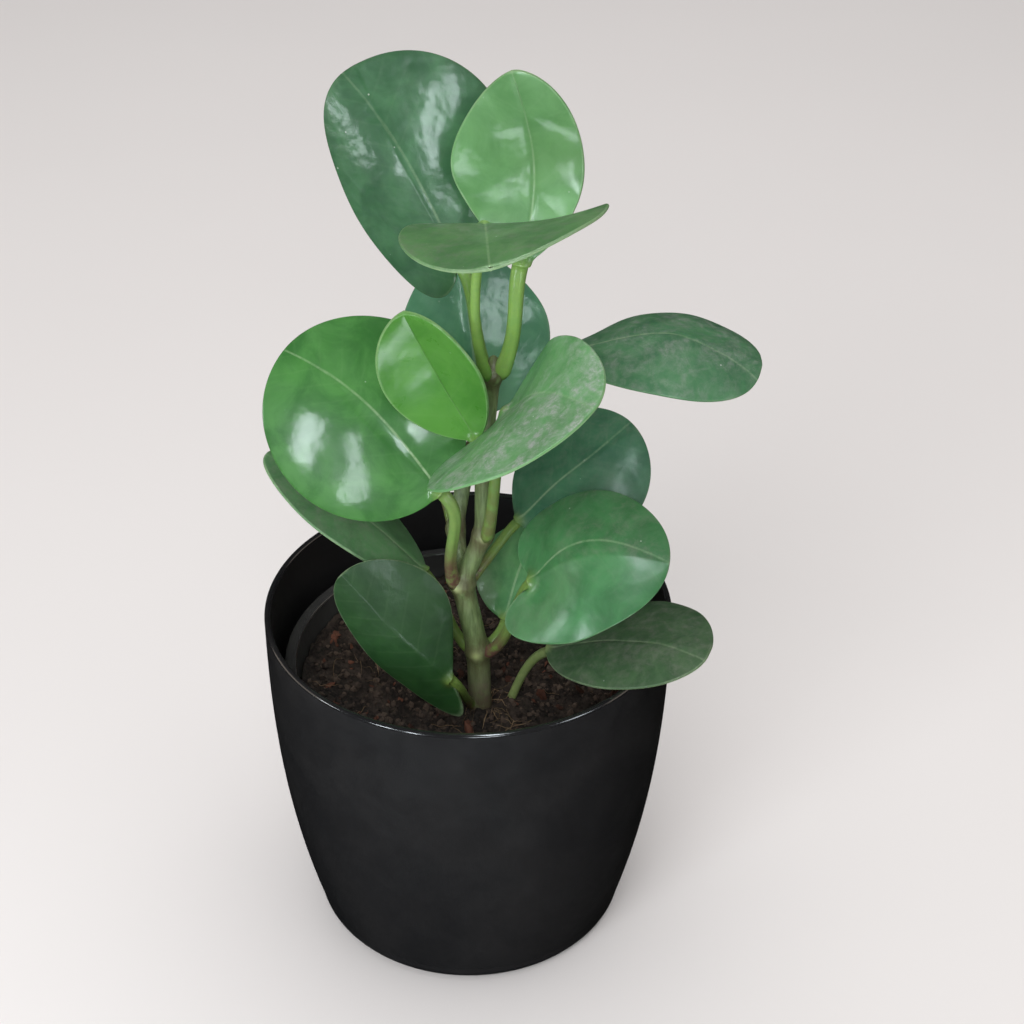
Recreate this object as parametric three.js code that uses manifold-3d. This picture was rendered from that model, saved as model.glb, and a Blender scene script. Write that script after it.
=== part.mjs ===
// A young peperomia in its nursery pot, standing inside a plain black cover pot.
// Millimetres, +Z up. The origin is the middle of the flat underside of the cover pot.
import * as THREE from 'three';
import { mergeVertices } from 'three/addons/utils/BufferGeometryUtils.js';
import Module from 'manifold-3d';

const wasm = await Module();
wasm.setup();

// Driving dimensions
const CLEARANCE = 0.3;            // gap kept between two pieces that touch
const ROUND_STEPS = 48;           // facets round both pots and the soil

const COVER_HEIGHT = 121;
const COVER_RIM_RADIUS = 67;
const COVER_TAPER = 15;           // how much narrower the wall is at the bottom than at the rim
const COVER_CURVE = 2.4;          // power that keeps the upper wall nearly upright
const COVER_WALL = 2;
const COVER_FLOOR = 3;
const COVER_FOOT_FILLET = 6;

const NURSERY_LIP_RADIUS = 61.5;
const NURSERY_LIP_TOP = 101;
const NURSERY_LIP_HEIGHT = 5;
const NURSERY_TOP_RADIUS = 58.8;
const NURSERY_FOOT_RADIUS = 44;
const NURSERY_WALL = 1.3;
const DRAIN_HOLE_RADIUS = 4;
const DRAIN_HOLE_CIRCLE = 28;
const DRAIN_HOLES = 8;

const SOIL_TOP = 92;
const SOIL_RELIEF = 1.6;          // height of the lumps in the soil's surface
const CRUMB_COUNT = 28;
const CRUMB_SIZES = [1.6, 3.4];   // smallest and largest radius of a bark crumb

const BLADE_ROWS = 12;            // steps from the base of a blade to its tip
const BLADE_COLUMNS = 6;          // steps from one margin to the other
const BLADE_MIDDLE_THICKNESS = 1.8;
const BLADE_MARGIN_THICKNESS = 1.0;
const BLADE_START = 0.015;        // the blade starts this far along its midrib, where it has a width
const BLADE_END = 0.992;
const PETIOLE_SIDES = 8;
const PETIOLE_STEPS = 7;
const PETIOLE_ROOT = 0.6;         // it starts this far out in its joint, as a share of the joint's radius
const PETIOLE_REACH = 0.06;       // the petiole ends this far along the midrib, inside the blade
const PETIOLE_APPROACH = 0.3;     // how early it turns in line with the blade, as a share of its length
const STEM_SIDES = 9;

// The woody stem: each joint is a swollen ring where leaves or shoots grow
const JOINTS = {
  root: { at: [4, -17, 76], radius: 4.2 },
  collar: { at: [3.5, -17, 93], radius: 4.1 },
  first: { at: [3, -17, 115], radius: 4.6 },
  fork: { at: [-2, -16, 141.5], radius: 4.7 },
  third: { at: [4.7, -17, 160.5], radius: 3.8 },
  fourth: { at: [4.8, -18, 188], radius: 3.4 },
  crown: { at: [7.5, -18, 219], radius: 3.6 },
  bud: { at: [8, -17, 225], radius: 1.9 },
  backFirst: { at: [-4, -7, 156], radius: 3.4 },
  backTop: { at: [1, 3, 182], radius: 3.2 },
};

const INTERNODES = [
  { from: 'root', to: 'collar', radius: 3.8 },
  { from: 'collar', to: 'first', radius: 3.8 },
  { from: 'first', to: 'fork', radius: 3.6 },
  { from: 'fork', to: 'third', radius: 3.0 },
  { from: 'third', to: 'fourth', radius: 2.7 },
  { from: 'fourth', to: 'crown', radius: 2.5 },
  { from: 'crown', to: 'bud', radius: 1.7 },
  { from: 'fork', to: 'backFirst', radius: 2.8 },
  { from: 'backFirst', to: 'backTop', radius: 2.5 },
];

// Leaf greens, from the darkest old leaf to the freshest young one
const OLD_GREEN = 0x2c6340;
const LEAF_GREEN = 0x3f8a45;
const FRESH_GREEN = 0x5aa23c;

// Leaves. base and tip are the two ends of the midrib. roll turns the blade about its midrib and lifts the
// left side. arch raises the midrib's middle, and bow moves it to the left. halves are the widths of the
// left and the right half. fold is the angle at which each half leaves the midrib, and cup is how far each
// half then curls up to its margin. lobe is how far each half is drawn back past the petiole, straight
// along the line from base to tip. shape holds two powers: how quickly the blade widens from its base and
// narrows to its tip. bend is the place that the petiole heads for as it leaves its joint.
const LEAVES = {
  leaf_crown_left: {
    joint: 'crown', bend: [1, -15, 238], petiole: 1.9, green: OLD_GREEN,
    base: [-2, -12, 253], tip: [-31, 6, 306.5], roll: -60, arch: 4, bow: 0,
    halves: [24.5, 32], fold: [-16, -8], cup: [-22, -16], twist: 0, lobe: [17, 0], shape: [0.45, 0.42],
  },
  leaf_crown_right: {
    joint: 'crown', bend: [16, -19, 234], petiole: 2.4, green: FRESH_GREEN,
    base: [15.5, -20, 256.5], tip: [12.8, -14, 313], roll: -28, arch: -2, bow: -5,
    halves: [23.5, 14.5], fold: [4, 4], cup: [16, 16], twist: 0, lobe: [0, 0], shape: [0.8, 0.65],
  },
  leaf_crown_front: {
    joint: 'crown', bend: [-1.5, -31, 244], petiole: 1.6, green: LEAF_GREEN,
    base: [5, -34, 275], tip: [6, -85, 290], roll: 3, arch: 4, bow: 0,
    halves: [33, 23], fold: [2, 0], cup: [14, 6], twist: 16, lobe: [0, 0], shape: [0.65, 0.5],
  },
  leaf_back_shoot: {
    joint: 'backTop', bend: [2, 0, 187], petiole: 1.8, green: OLD_GREEN,
    base: [4, 2, 192], tip: [-3, 24, 241], roll: -4, arch: 3, bow: 0,
    halves: [22.5, 27], fold: [-8, -8], cup: [-10, -10], twist: 0, lobe: [0, 0], shape: [0.55, 0.75],
  },
  leaf_broad_left: {
    joint: 'fork', bend: [-9, -22, 160], petiole: 2.1, green: LEAF_GREEN,
    base: [-8, -27, 183], tip: [-50, -4, 225], roll: -56, arch: 4, bow: 2,
    halves: [32.5, 32.5], fold: [-6, -6], cup: [-16, -16], twist: 0, lobe: [0, 0], shape: [0.5, 0.5],
  },
  leaf_young: {
    joint: 'fourth', bend: [4, -22, 194], petiole: 1.7, green: FRESH_GREEN,
    base: [3, -27, 202], tip: [-18, -30, 247], roll: -108, arch: -3, bow: 2,
    halves: [16.5, 16.5], fold: [10, 10], cup: [28, 28], twist: 0, lobe: [0, 0], shape: [0.75, 0.65],
  },
  leaf_front: {
    joint: 'third', bend: [9, -27, 180], petiole: 2.0, green: LEAF_GREEN,
    base: [12, -26, 210], tip: [36, -62, 235], roll: 33, arch: 5, bow: 0,
    halves: [21, 38], fold: [4, 4], cup: [16, 8], twist: 0, lobe: [0, 16], shape: [0.38, 0.5],
  },
  leaf_far_right: {
    joint: 'fourth', bend: [14, -12, 203], petiole: 1.8, green: OLD_GREEN,
    base: [30, -9, 220.5], tip: [87.5, -18, 221.5], roll: 10, arch: 9, bow: 0,
    halves: [21, 20.5], fold: [-10, -10], cup: [-20, -20], twist: 0, lobe: [0, 0], shape: [0.58, 0.4],
  },
  leaf_upper_right: {
    joint: 'fork', bend: [7, -12, 148], petiole: 1.7, green: OLD_GREEN,
    base: [16, -2, 155], tip: [54, 10, 182], roll: 30, arch: 3, bow: 0,
    halves: [23, 23], fold: [-8, -8], cup: [-14, -14], twist: 0, lobe: [0, 0], shape: [0.6, 0.5],
  },
  leaf_round_right: {
    joint: 'first', bend: [14, -24, 122], petiole: 2.0, green: LEAF_GREEN,
    base: [20, -33, 154], tip: [60, -48, 171], roll: 45, arch: 9, bow: 3,
    halves: [26, 25], fold: [-12, -6], cup: [-24, -14], twist: 0, lobe: [10, 22], shape: [0.36, 0.5],
  },
  leaf_low_right: {
    joint: 'root', bend: [15, -15, 91], petiole: 1.7, green: OLD_GREEN,
    base: [26, -18, 115], tip: [74.5, -44, 134.5], roll: 12, arch: 4, bow: 0,
    halves: [22, 18], fold: [-4, -4], cup: [-10, -10], twist: 0, lobe: [0, 0], shape: [0.62, 0.5],
  },
  leaf_low_left: {
    joint: 'first', bend: [-7, -14, 120], petiole: 1.8, green: OLD_GREEN,
    base: [-14, -9, 140], tip: [-64, 4, 177], roll: 2, arch: 3, bow: 0,
    halves: [16, 20], fold: [-4, -4], cup: [-10, -10], twist: 0, lobe: [0, 0], shape: [0.6, 0.55],
  },
  leaf_inner_left: {
    joint: 'collar', bend: [-3, -22, 100], petiole: 1.6, green: OLD_GREEN,
    base: [-6, -33, 116], tip: [-39.5, -24, 151], roll: -72, arch: 3, bow: 0,
    halves: [15.5, 20.5], fold: [-14, -14], cup: [-20, -20], twist: 0, lobe: [25, -8], shape: [0.5, 0.5],
  },
  leaf_inner_back: {
    joint: 'first', bend: [9, -13, 117], petiole: 1.7, green: OLD_GREEN,
    base: [12, -10, 122], tip: [24, 10, 146], roll: 0, arch: 3, bow: 0,
    halves: [17, 17], fold: [-4, -4], cup: [-10, -10], twist: 0, lobe: [0, 0], shape: [0.5, 0.55],
  },
  leaf_rear: {
    joint: 'backFirst', bend: [-8, 2, 166], petiole: 1.7, green: OLD_GREEN,
    base: [-12, 8, 172], tip: [-30, 46, 196], roll: 0, arch: 4, bow: 0,
    halves: [21, 21], fold: [0, 0], cup: [-10, -10], twist: 0, lobe: [0, 0], shape: [0.65, 0.5],
  },
};

const vector = (place) => new THREE.Vector3(...place);
const radians = THREE.MathUtils.degToRad;

// Solids: a closed geometry becomes a solid for joining and cutting, and turns back into a geometry
function solidFrom(geometry) {
  const bare = geometry.clone();
  bare.deleteAttribute('normal');
  bare.deleteAttribute('uv');
  const merged = mergeVertices(bare, 1e-4);
  const corners = merged.index.array;
  const triangles = [];
  for (let i = 0; i < corners.length; i += 3) {
    const [a, b, c] = [corners[i], corners[i + 1], corners[i + 2]];
    if (a !== b && b !== c && c !== a) triangles.push(a, b, c);
  }
  return new wasm.Manifold(new wasm.Mesh({
    numProp: 3,
    vertProperties: Float32Array.from(merged.attributes.position.array),
    triVerts: Uint32Array.from(triangles),
  }));
}

function geometryFrom(solid) {
  const mesh = solid.simplify(0.01).getMesh();
  const geometry = new THREE.BufferGeometry();
  geometry.setAttribute('position', new THREE.BufferAttribute(Float32Array.from(mesh.vertProperties), 3));
  geometry.setIndex(new THREE.BufferAttribute(Uint32Array.from(mesh.triVerts), 1));
  geometry.computeVertexNormals();
  return geometry;
}

function joinAll(solids) {
  return solids.reduce((whole, next) => whole.add(next));
}

function largestBody(solid) {
  return solid.decompose().reduce((best, next) => (next.volume() > best.volume() ? next : best));
}

// Round things: a profile of [radius, height] points turned about the Z axis
function turned(profile) {
  const points = profile.map(([radius, height]) => new THREE.Vector2(radius, height));
  const geometry = new THREE.LatheGeometry(points, ROUND_STEPS);
  geometry.rotateX(Math.PI / 2);
  return geometry;
}

// Tubes along a curve, with a round section of a few sides
function tube(curve, radius, sides, steps) {
  const circle = new THREE.EllipseCurve(0, 0, radius, radius);
  const section = new THREE.Shape(circle.getPoints(sides).slice(0, sides));
  return new THREE.ExtrudeGeometry(section, { steps, extrudePath: curve, bevelEnabled: false });
}

// Cover pot: the wall draws in towards the foot, slowly at first and then faster
function coverWallRadius(height) {
  const below = 1 - height / COVER_HEIGHT;
  return COVER_RIM_RADIUS - COVER_TAPER * below ** COVER_CURVE;
}

function coverPotGeometry() {
  const outer = [];
  const inner = [];
  const filletCentre = coverWallRadius(COVER_FOOT_FILLET) - COVER_FOOT_FILLET;
  for (const angle of [0, 22.5, 45, 67.5, 90]) {
    const turn = radians(angle);
    outer.push([
      filletCentre + COVER_FOOT_FILLET * Math.sin(turn),
      COVER_FOOT_FILLET * (1 - Math.cos(turn)),
    ]);
  }
  const rimRadius = COVER_WALL / 2;
  const rimHeight = COVER_HEIGHT - rimRadius;
  for (const height of [20, 38, 58, 80, 100, rimHeight]) outer.push([coverWallRadius(height), height]);
  for (const height of [rimHeight, 100, 80, 58, 38, 20, 9]) {
    inner.push([coverWallRadius(height) - COVER_WALL, height]);
  }
  const rim = [45, 90, 135].map((angle) => [
    COVER_RIM_RADIUS - rimRadius + rimRadius * Math.cos(radians(angle)),
    rimHeight + rimRadius * Math.sin(radians(angle)),
  ]);
  return turned([[0, 0], ...outer, ...rim, ...inner, [filletCentre, COVER_FLOOR], [0, COVER_FLOOR]]);
}

// Nursery pot: a thin tapered pot with a rolled lip and holes in its floor
const NURSERY_FLOOR = COVER_FLOOR + CLEARANCE;
const NURSERY_LIP_INNER = NURSERY_TOP_RADIUS - NURSERY_WALL;
const NURSERY_LIP_FOOT = NURSERY_LIP_TOP - NURSERY_LIP_HEIGHT;
const NURSERY_INNER_FOOT = NURSERY_FLOOR + 3;

function nurseryInnerRadius(height) {
  const rise = (height - NURSERY_INNER_FOOT) / (NURSERY_LIP_FOOT - NURSERY_INNER_FOOT);
  return THREE.MathUtils.lerp(NURSERY_FOOT_RADIUS - NURSERY_WALL, NURSERY_LIP_INNER, rise);
}

function nurseryPotGeometry() {
  const pot = solidFrom(turned([
    [0, NURSERY_FLOOR],
    [NURSERY_FOOT_RADIUS - 2, NURSERY_FLOOR],
    [NURSERY_FOOT_RADIUS, NURSERY_FLOOR + 2],
    [NURSERY_TOP_RADIUS, NURSERY_LIP_FOOT],
    [NURSERY_LIP_RADIUS, NURSERY_LIP_FOOT],
    [NURSERY_LIP_RADIUS, NURSERY_LIP_TOP - 1],
    [NURSERY_LIP_RADIUS - 1, NURSERY_LIP_TOP],
    [NURSERY_LIP_INNER + 0.8, NURSERY_LIP_TOP],
    [NURSERY_LIP_INNER, NURSERY_LIP_TOP - 0.8],
    [NURSERY_LIP_INNER, NURSERY_LIP_FOOT],
    [NURSERY_FOOT_RADIUS - NURSERY_WALL, NURSERY_INNER_FOOT],
    [NURSERY_FOOT_RADIUS - 3, NURSERY_FLOOR + NURSERY_WALL],
    [0, NURSERY_FLOOR + NURSERY_WALL],
  ]));
  const holes = [];
  for (let i = 0; i < DRAIN_HOLES; i += 1) {
    const turn = (2 * Math.PI * i) / DRAIN_HOLES;
    const hole = new THREE.CylinderGeometry(DRAIN_HOLE_RADIUS, DRAIN_HOLE_RADIUS, 6 * NURSERY_WALL, 16);
    hole.rotateX(Math.PI / 2);
    hole.translate(DRAIN_HOLE_CIRCLE * Math.cos(turn), DRAIN_HOLE_CIRCLE * Math.sin(turn), NURSERY_FLOOR);
    holes.push(solidFrom(hole));
  }
  return geometryFrom(pot.subtract(joinAll(holes)));
}

// Stem: straight internodes between swollen joints, grown by extra when it is used to cut its own holes
function stemSolid(extra) {
  const pieces = [];
  for (const { from, to, radius } of INTERNODES) {
    const path = new THREE.LineCurve3(vector(JOINTS[from].at), vector(JOINTS[to].at));
    pieces.push(solidFrom(tube(path, radius + extra, STEM_SIDES, 2)));
  }
  for (const { at, radius } of Object.values(JOINTS)) {
    const swelling = new THREE.SphereGeometry(radius + extra, STEM_SIDES, 5);
    swelling.rotateX(Math.PI / 2);
    swelling.translate(...at);
    pieces.push(solidFrom(swelling));
  }
  return joinAll(pieces);
}

// Blade: its own axes are along the midrib, to its left, and out of its upper face
function bladeAxes(leaf) {
  const along = vector(leaf.tip).sub(vector(leaf.base));
  const length = along.length();
  along.normalize();
  const face = new THREE.Vector3(0, 0, 1).addScaledVector(along, -along.z).normalize();
  const left = new THREE.Vector3().crossVectors(face, along);
  const roll = radians(leaf.roll);
  const rolledLeft = left.clone().multiplyScalar(Math.cos(roll)).addScaledVector(face, Math.sin(roll));
  const rolledFace = face.clone().multiplyScalar(Math.cos(roll)).addScaledVector(left, -Math.sin(roll));
  return { along, left: rolledLeft, face: rolledFace, length };
}

// The share of a half's full width at a point along the midrib: a product of two powers, 1 at the widest
function widthShare(leaf, u) {
  const [widen, narrow] = leaf.shape;
  const widest = widen / (widen + narrow);
  return (u / widest) ** widen * ((1 - u) / (1 - widest)) ** narrow;
}

// A point of the blade: u runs from base to tip, v from the right margin at -1 to the left margin at 1, and
// lift moves the point out of the upper face. Across the blade the section is an arc that leaves the midrib
// at the angle fold and turns by cup over half the width.
function bladePoint(leaf, axes, u, v, lift) {
  const wave = Math.PI * u;
  const spine = new THREE.Vector3(
    axes.length * u,
    leaf.bow * Math.sin(wave),
    leaf.arch * Math.sin(wave),
  );
  const tangent = new THREE.Vector3(
    axes.length,
    leaf.bow * Math.PI * Math.cos(wave),
    leaf.arch * Math.PI * Math.cos(wave),
  ).normalize();
  const flatLeft = new THREE.Vector3(-tangent.y, tangent.x, 0).normalize();
  const flatFace = new THREE.Vector3().crossVectors(tangent, flatLeft);
  const twist = radians(leaf.twist) * (u - 0.5);
  const left = flatLeft.clone().multiplyScalar(Math.cos(twist)).addScaledVector(flatFace, Math.sin(twist));
  const face = flatFace.clone().multiplyScalar(Math.cos(twist)).addScaledVector(flatLeft, -Math.sin(twist));

  const side = v < 0 ? 1 : 0;
  const outwards = v < 0 ? -1 : 1;
  const share = Math.abs(v) * widthShare(leaf, u);
  const reach = share * leaf.halves[side];
  const drawnBack = leaf.lobe[side] * (1 - (1 - share) ** 2) * Math.abs(v) * (1 - u) ** 2;
  const fold = radians(leaf.fold[side]);
  const bend = radians(leaf.cup[side]) * share || 1e-6;
  const across = (reach / bend) * (Math.sin(fold + bend) - Math.sin(fold));
  const rise = (reach / bend) * (Math.cos(fold) - Math.cos(fold + bend));
  const slope = fold + bend;

  const local = spine
    .setX(spine.x - drawnBack)
    .addScaledVector(left, outwards * across - outwards * lift * Math.sin(slope))
    .addScaledVector(face, rise + lift * Math.cos(slope));
  return vector(leaf.base)
    .addScaledVector(axes.along, local.x)
    .addScaledVector(axes.left, local.y)
    .addScaledVector(axes.face, local.z);
}

// A closed sheet: one grid of points for both faces, with cells split alike, and a band round the margin
function bladeGeometry(leaf) {
  const axes = bladeAxes(leaf);
  const columns = BLADE_COLUMNS + 1;
  const sheet = columns * (BLADE_ROWS + 1);
  const positions = [];
  for (const face of [0.5, -0.5]) {
    for (let row = 0; row <= BLADE_ROWS; row += 1) {
      const spread = 0.5 - 0.5 * Math.cos((Math.PI * row) / BLADE_ROWS);
      const u = BLADE_START + (BLADE_END - BLADE_START) * spread;
      for (let column = 0; column < columns; column += 1) {
        const v = Math.sin(Math.PI * (column / BLADE_COLUMNS - 0.5));
        const thin = Math.abs(v) ** 2;
        const thickness = BLADE_MIDDLE_THICKNESS * (1 - thin) + BLADE_MARGIN_THICKNESS * thin;
        positions.push(...bladePoint(leaf, axes, u, v, face * thickness));
      }
    }
  }
  const triangles = [];
  const quad = (a, b, c, d) => triangles.push(a, b, c, a, c, d);
  for (let row = 0; row < BLADE_ROWS; row += 1) {
    for (let column = 0; column < BLADE_COLUMNS; column += 1) {
      const a = row * columns + column;
      quad(a, a + columns, a + columns + 1, a + 1);
      triangles.push(sheet + a, sheet + a + columns + 1, sheet + a + columns);
      triangles.push(sheet + a, sheet + a + 1, sheet + a + columns + 1);
    }
    const right = row * columns;
    const left = right + BLADE_COLUMNS;
    quad(right, sheet + right, sheet + right + columns, right + columns);
    quad(left, left + columns, sheet + left + columns, sheet + left);
  }
  for (let column = 0; column < BLADE_COLUMNS; column += 1) {
    const start = column;
    const end = BLADE_ROWS * columns + column;
    quad(start, start + 1, sheet + start + 1, sheet + start);
    quad(end, sheet + end, sheet + end + 1, end + 1);
  }
  const geometry = new THREE.BufferGeometry();
  geometry.setAttribute('position', new THREE.Float32BufferAttribute(positions, 3));
  geometry.setIndex(triangles);
  return geometry;
}

// Petiole: a curve that leaves the joint towards its bend and runs into the blade along the midrib
function petioleCurve(leaf) {
  const axes = bladeAxes(leaf);
  const joint = JOINTS[leaf.joint];
  const outwards = vector(leaf.bend).sub(vector(joint.at)).setZ(0).normalize();
  const start = vector(joint.at).addScaledVector(outwards, PETIOLE_ROOT * joint.radius);
  const base = vector(leaf.base);
  const end = bladePoint(leaf, axes, PETIOLE_REACH, 0, 0);
  const heading = end.clone().sub(base).normalize();
  const approach = base.clone().addScaledVector(heading, -PETIOLE_APPROACH * base.distanceTo(start));
  return new THREE.CubicBezierCurve3(start, vector(leaf.bend), approach, end);
}

function petioleSolid(leaf, extra) {
  return solidFrom(tube(petioleCurve(leaf), leaf.petiole + extra, PETIOLE_SIDES, PETIOLE_STEPS));
}

function leafGeometry(leaf, stemRoom) {
  const whole = solidFrom(bladeGeometry(leaf)).add(petioleSolid(leaf, 0));
  return geometryFrom(largestBody(whole.subtract(stemRoom)));
}

// Soil: a filled pot with a lumpy top, bark crumbs half sunk in it and plain holes for what stands in it
function soilLump(x, y) {
  return SOIL_RELIEF * (
    0.5 * Math.sin(0.31 * x + 0.5) * Math.cos(0.27 * y)
    + 0.3 * Math.sin(0.62 * x - 0.48 * y + 1.2)
    + 0.2 * Math.cos(0.9 * x + 0.7 * y)
  );
}

function seededRandom(seed) {
  let state = seed;
  return () => {
    state = (state * 16807) % 2147483647;
    return state / 2147483647;
  };
}

function soilGeometry(room) {
  const radiusAt = (height) => nurseryInnerRadius(height) - 1.1 * CLEARANCE;
  const radius = radiusAt(SOIL_TOP);
  const floor = NURSERY_FLOOR + NURSERY_WALL + CLEARANCE;
  const top = [];
  for (const share of [0.985, 0.85, 0.7, 0.55, 0.4, 0.25, 0.12]) top.push([share * radius, SOIL_TOP]);
  const body = turned([
    [0, floor], [radiusAt(floor) - 2.5, floor], [radiusAt(floor + 2.5), floor + 2.5],
    [radiusAt(SOIL_TOP - 3), SOIL_TOP - 3], ...top, [0, SOIL_TOP],
  ]);
  const place = body.attributes.position;
  for (let i = 0; i < place.count; i += 1) {
    if (place.getZ(i) > SOIL_TOP - 1) place.setZ(i, SOIL_TOP + soilLump(place.getX(i), place.getY(i)));
  }
  const random = seededRandom(41);
  const pieces = [solidFrom(body)];
  for (let i = 0; i < CRUMB_COUNT; i += 1) {
    const distance = (radius - 5) * Math.sqrt(random());
    const turn = 2 * Math.PI * random();
    const size = CRUMB_SIZES[0] + (CRUMB_SIZES[1] - CRUMB_SIZES[0]) * random() ** 2;
    const crumb = new THREE.IcosahedronGeometry(size, 0);
    crumb.scale(1.3, 0.9, 0.7);
    crumb.rotateX(random());
    crumb.rotateZ(2 * Math.PI * random());
    const [x, y] = [distance * Math.cos(turn), distance * Math.sin(turn)];
    crumb.translate(x, y, SOIL_TOP + soilLump(x, y) + 0.1 * size);
    pieces.push(solidFrom(crumb));
  }
  return geometryFrom(largestBody(joinAll(pieces).subtract(room)));
}

// Assembly
const plant = new THREE.Group();

function addPiece(name, geometry, color, roughness) {
  const material = new THREE.MeshStandardMaterial({ color, roughness, metalness: 0 });
  const mesh = new THREE.Mesh(geometry, material);
  mesh.name = name;
  plant.add(mesh);
}

const stemRoom = stemSolid(CLEARANCE);
const petioleRoom = joinAll(Object.values(LEAVES).map((leaf) => petioleSolid(leaf, CLEARANCE)));

addPiece('cover_pot', coverPotGeometry(), 0x17171a, 0.4);
addPiece('nursery_pot', nurseryPotGeometry(), 0x121214, 0.5);
addPiece('soil', soilGeometry(stemSolid(2 * CLEARANCE).add(petioleRoom)), 0x2b1c14, 0.95);
addPiece('stem', geometryFrom(stemSolid(0)), 0x6f7f4a, 0.6);
for (const [name, leaf] of Object.entries(LEAVES)) {
  addPiece(name, leafGeometry(leaf, stemRoom), leaf.green, 0.35);
}

export default plant;
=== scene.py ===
# %% [markdown]
# # A potted peperomia
#
# A young peperomia with thick, round, glossy leaves, rooted in a thin nursery pot that stands inside a
# plain black cover pot. The solids of the plant come in as a fixed frame. Each main piece here is a finer
# surface that keeps the form of one of those solids and stands in its place, so nothing has to be fitted
# afterwards.

# %% The frame
import math
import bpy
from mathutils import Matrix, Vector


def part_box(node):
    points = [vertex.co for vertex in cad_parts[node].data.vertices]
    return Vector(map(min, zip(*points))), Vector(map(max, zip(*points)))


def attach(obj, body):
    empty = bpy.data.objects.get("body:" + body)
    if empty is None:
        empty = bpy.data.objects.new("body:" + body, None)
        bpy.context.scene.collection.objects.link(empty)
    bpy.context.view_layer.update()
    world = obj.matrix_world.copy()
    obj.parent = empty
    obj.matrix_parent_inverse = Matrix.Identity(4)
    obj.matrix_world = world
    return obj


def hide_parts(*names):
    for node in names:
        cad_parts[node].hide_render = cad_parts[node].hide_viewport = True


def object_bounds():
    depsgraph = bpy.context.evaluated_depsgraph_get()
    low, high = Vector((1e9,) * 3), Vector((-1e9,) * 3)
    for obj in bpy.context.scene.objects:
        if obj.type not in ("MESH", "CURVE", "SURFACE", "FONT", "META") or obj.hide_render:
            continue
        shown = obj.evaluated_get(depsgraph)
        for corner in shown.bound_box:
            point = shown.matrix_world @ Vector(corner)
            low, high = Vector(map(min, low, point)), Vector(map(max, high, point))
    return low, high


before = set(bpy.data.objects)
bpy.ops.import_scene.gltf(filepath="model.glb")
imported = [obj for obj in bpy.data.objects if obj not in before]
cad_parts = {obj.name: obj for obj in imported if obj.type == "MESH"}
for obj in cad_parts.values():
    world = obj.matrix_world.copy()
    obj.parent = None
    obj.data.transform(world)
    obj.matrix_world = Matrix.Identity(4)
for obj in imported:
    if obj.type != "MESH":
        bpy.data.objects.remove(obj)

from types import SimpleNamespace

import bpy
import numpy as np
from mathutils import Matrix, Vector

cad_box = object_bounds()
MM = 0.001
UP = np.array([0.0, 0.0, 1.0])
print("frame:", len(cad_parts), "nodes, box", [[round(x, 4) for x in corner] for corner in cad_box])

# %% [markdown]
# ## From rings to a mesh
#
# Nearly everything on this plant is a ring that travels: round a pot, up a stem, along a leaf from its
# stalk to its tip. So one helper turns a stack of rings into a closed mesh. It could be done with bmesh
# face by face, but numpy makes the whole index array in one step, which stays quick for thousands of
# faces.

# %% Rings to mesh
def ring_faces(rows, columns):
    """Quads between neighbouring rings, closed round each ring, and triangles from the first and last
    ring to a pole. Point numbers run ring by ring, then the start pole, then the end pole."""
    row, column = np.meshgrid(np.arange(rows - 1), np.arange(columns), indexing="ij")
    following = (column + 1) % columns
    quads = np.stack([
        row * columns + column,
        row * columns + following,
        (row + 1) * columns + following,
        (row + 1) * columns + column,
    ], -1).reshape(-1, 4)
    around = np.arange(columns)
    ahead = (around + 1) % columns
    start, end, last = rows * columns, rows * columns + 1, (rows - 1) * columns
    first_fan = np.stack([np.full(columns, start), ahead, around], -1)
    last_fan = np.stack([np.full(columns, end), last + around, last + ahead], -1)
    return quads, np.concatenate([first_fan, last_fan])


def swept(rings, start, end):
    """A closed surface through rings of shape (rows, columns, 3), with a pole at each end. Seen from
    ahead, with the sweep coming at the eye, each ring runs anticlockwise, so faces point outwards."""
    rows, columns = rings.shape[:2]
    points = np.concatenate([rings.reshape(-1, 3), [start], [end]])
    return points, *ring_faces(rows, columns)


def joined(*surfaces):
    """Several surfaces as one: points stacked, and point numbers moved up by those before."""
    points, quads, triangles, count = [], [], [], 0
    for surface_points, surface_quads, surface_triangles in surfaces:
        points.append(surface_points)
        quads.append(surface_quads + count)
        triangles.append(surface_triangles + count)
        count += len(surface_points)
    return np.concatenate(points), np.concatenate(quads), np.concatenate(triangles)


def shade(mesh, smooth):
    """Every face of the mesh smooth, or every face flat."""
    mesh.polygons.foreach_set("use_smooth", np.full(len(mesh.polygons), smooth))


def mark_points(mesh, marks):
    """Numbers on the mesh's points, as one float attribute for each key."""
    for key, values in marks.items():
        attribute = mesh.attributes.new(key, "FLOAT", "POINT")
        attribute.data.foreach_set("value", np.ravel(values).astype(np.float32))


def make_piece(name, surface, marks=None):
    """A smooth mesh object at the origin from a surface in millimetres, with marks on its points."""
    points, quads, triangles = surface
    mesh = bpy.data.meshes.new(name)
    mesh.vertices.add(len(points))
    mesh.vertices.foreach_set("co", (points * MM).astype(np.float32).ravel())
    loops = np.concatenate([quads.ravel(), triangles.ravel()]).astype(np.int32)
    mesh.loops.add(len(loops))
    mesh.loops.foreach_set("vertex_index", loops)
    sizes = np.concatenate([np.full(len(quads), 4), np.full(len(triangles), 3)])
    mesh.polygons.add(len(sizes))
    mesh.polygons.foreach_set("loop_start", (np.cumsum(sizes) - sizes).astype(np.int32))
    shade(mesh, smooth=True)
    mesh.update(calc_edges=True)
    mesh.validate()
    mark_points(mesh, marks or {})
    piece = bpy.data.objects.new(name, mesh)
    bpy.context.scene.collection.objects.link(piece)
    return piece


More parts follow.
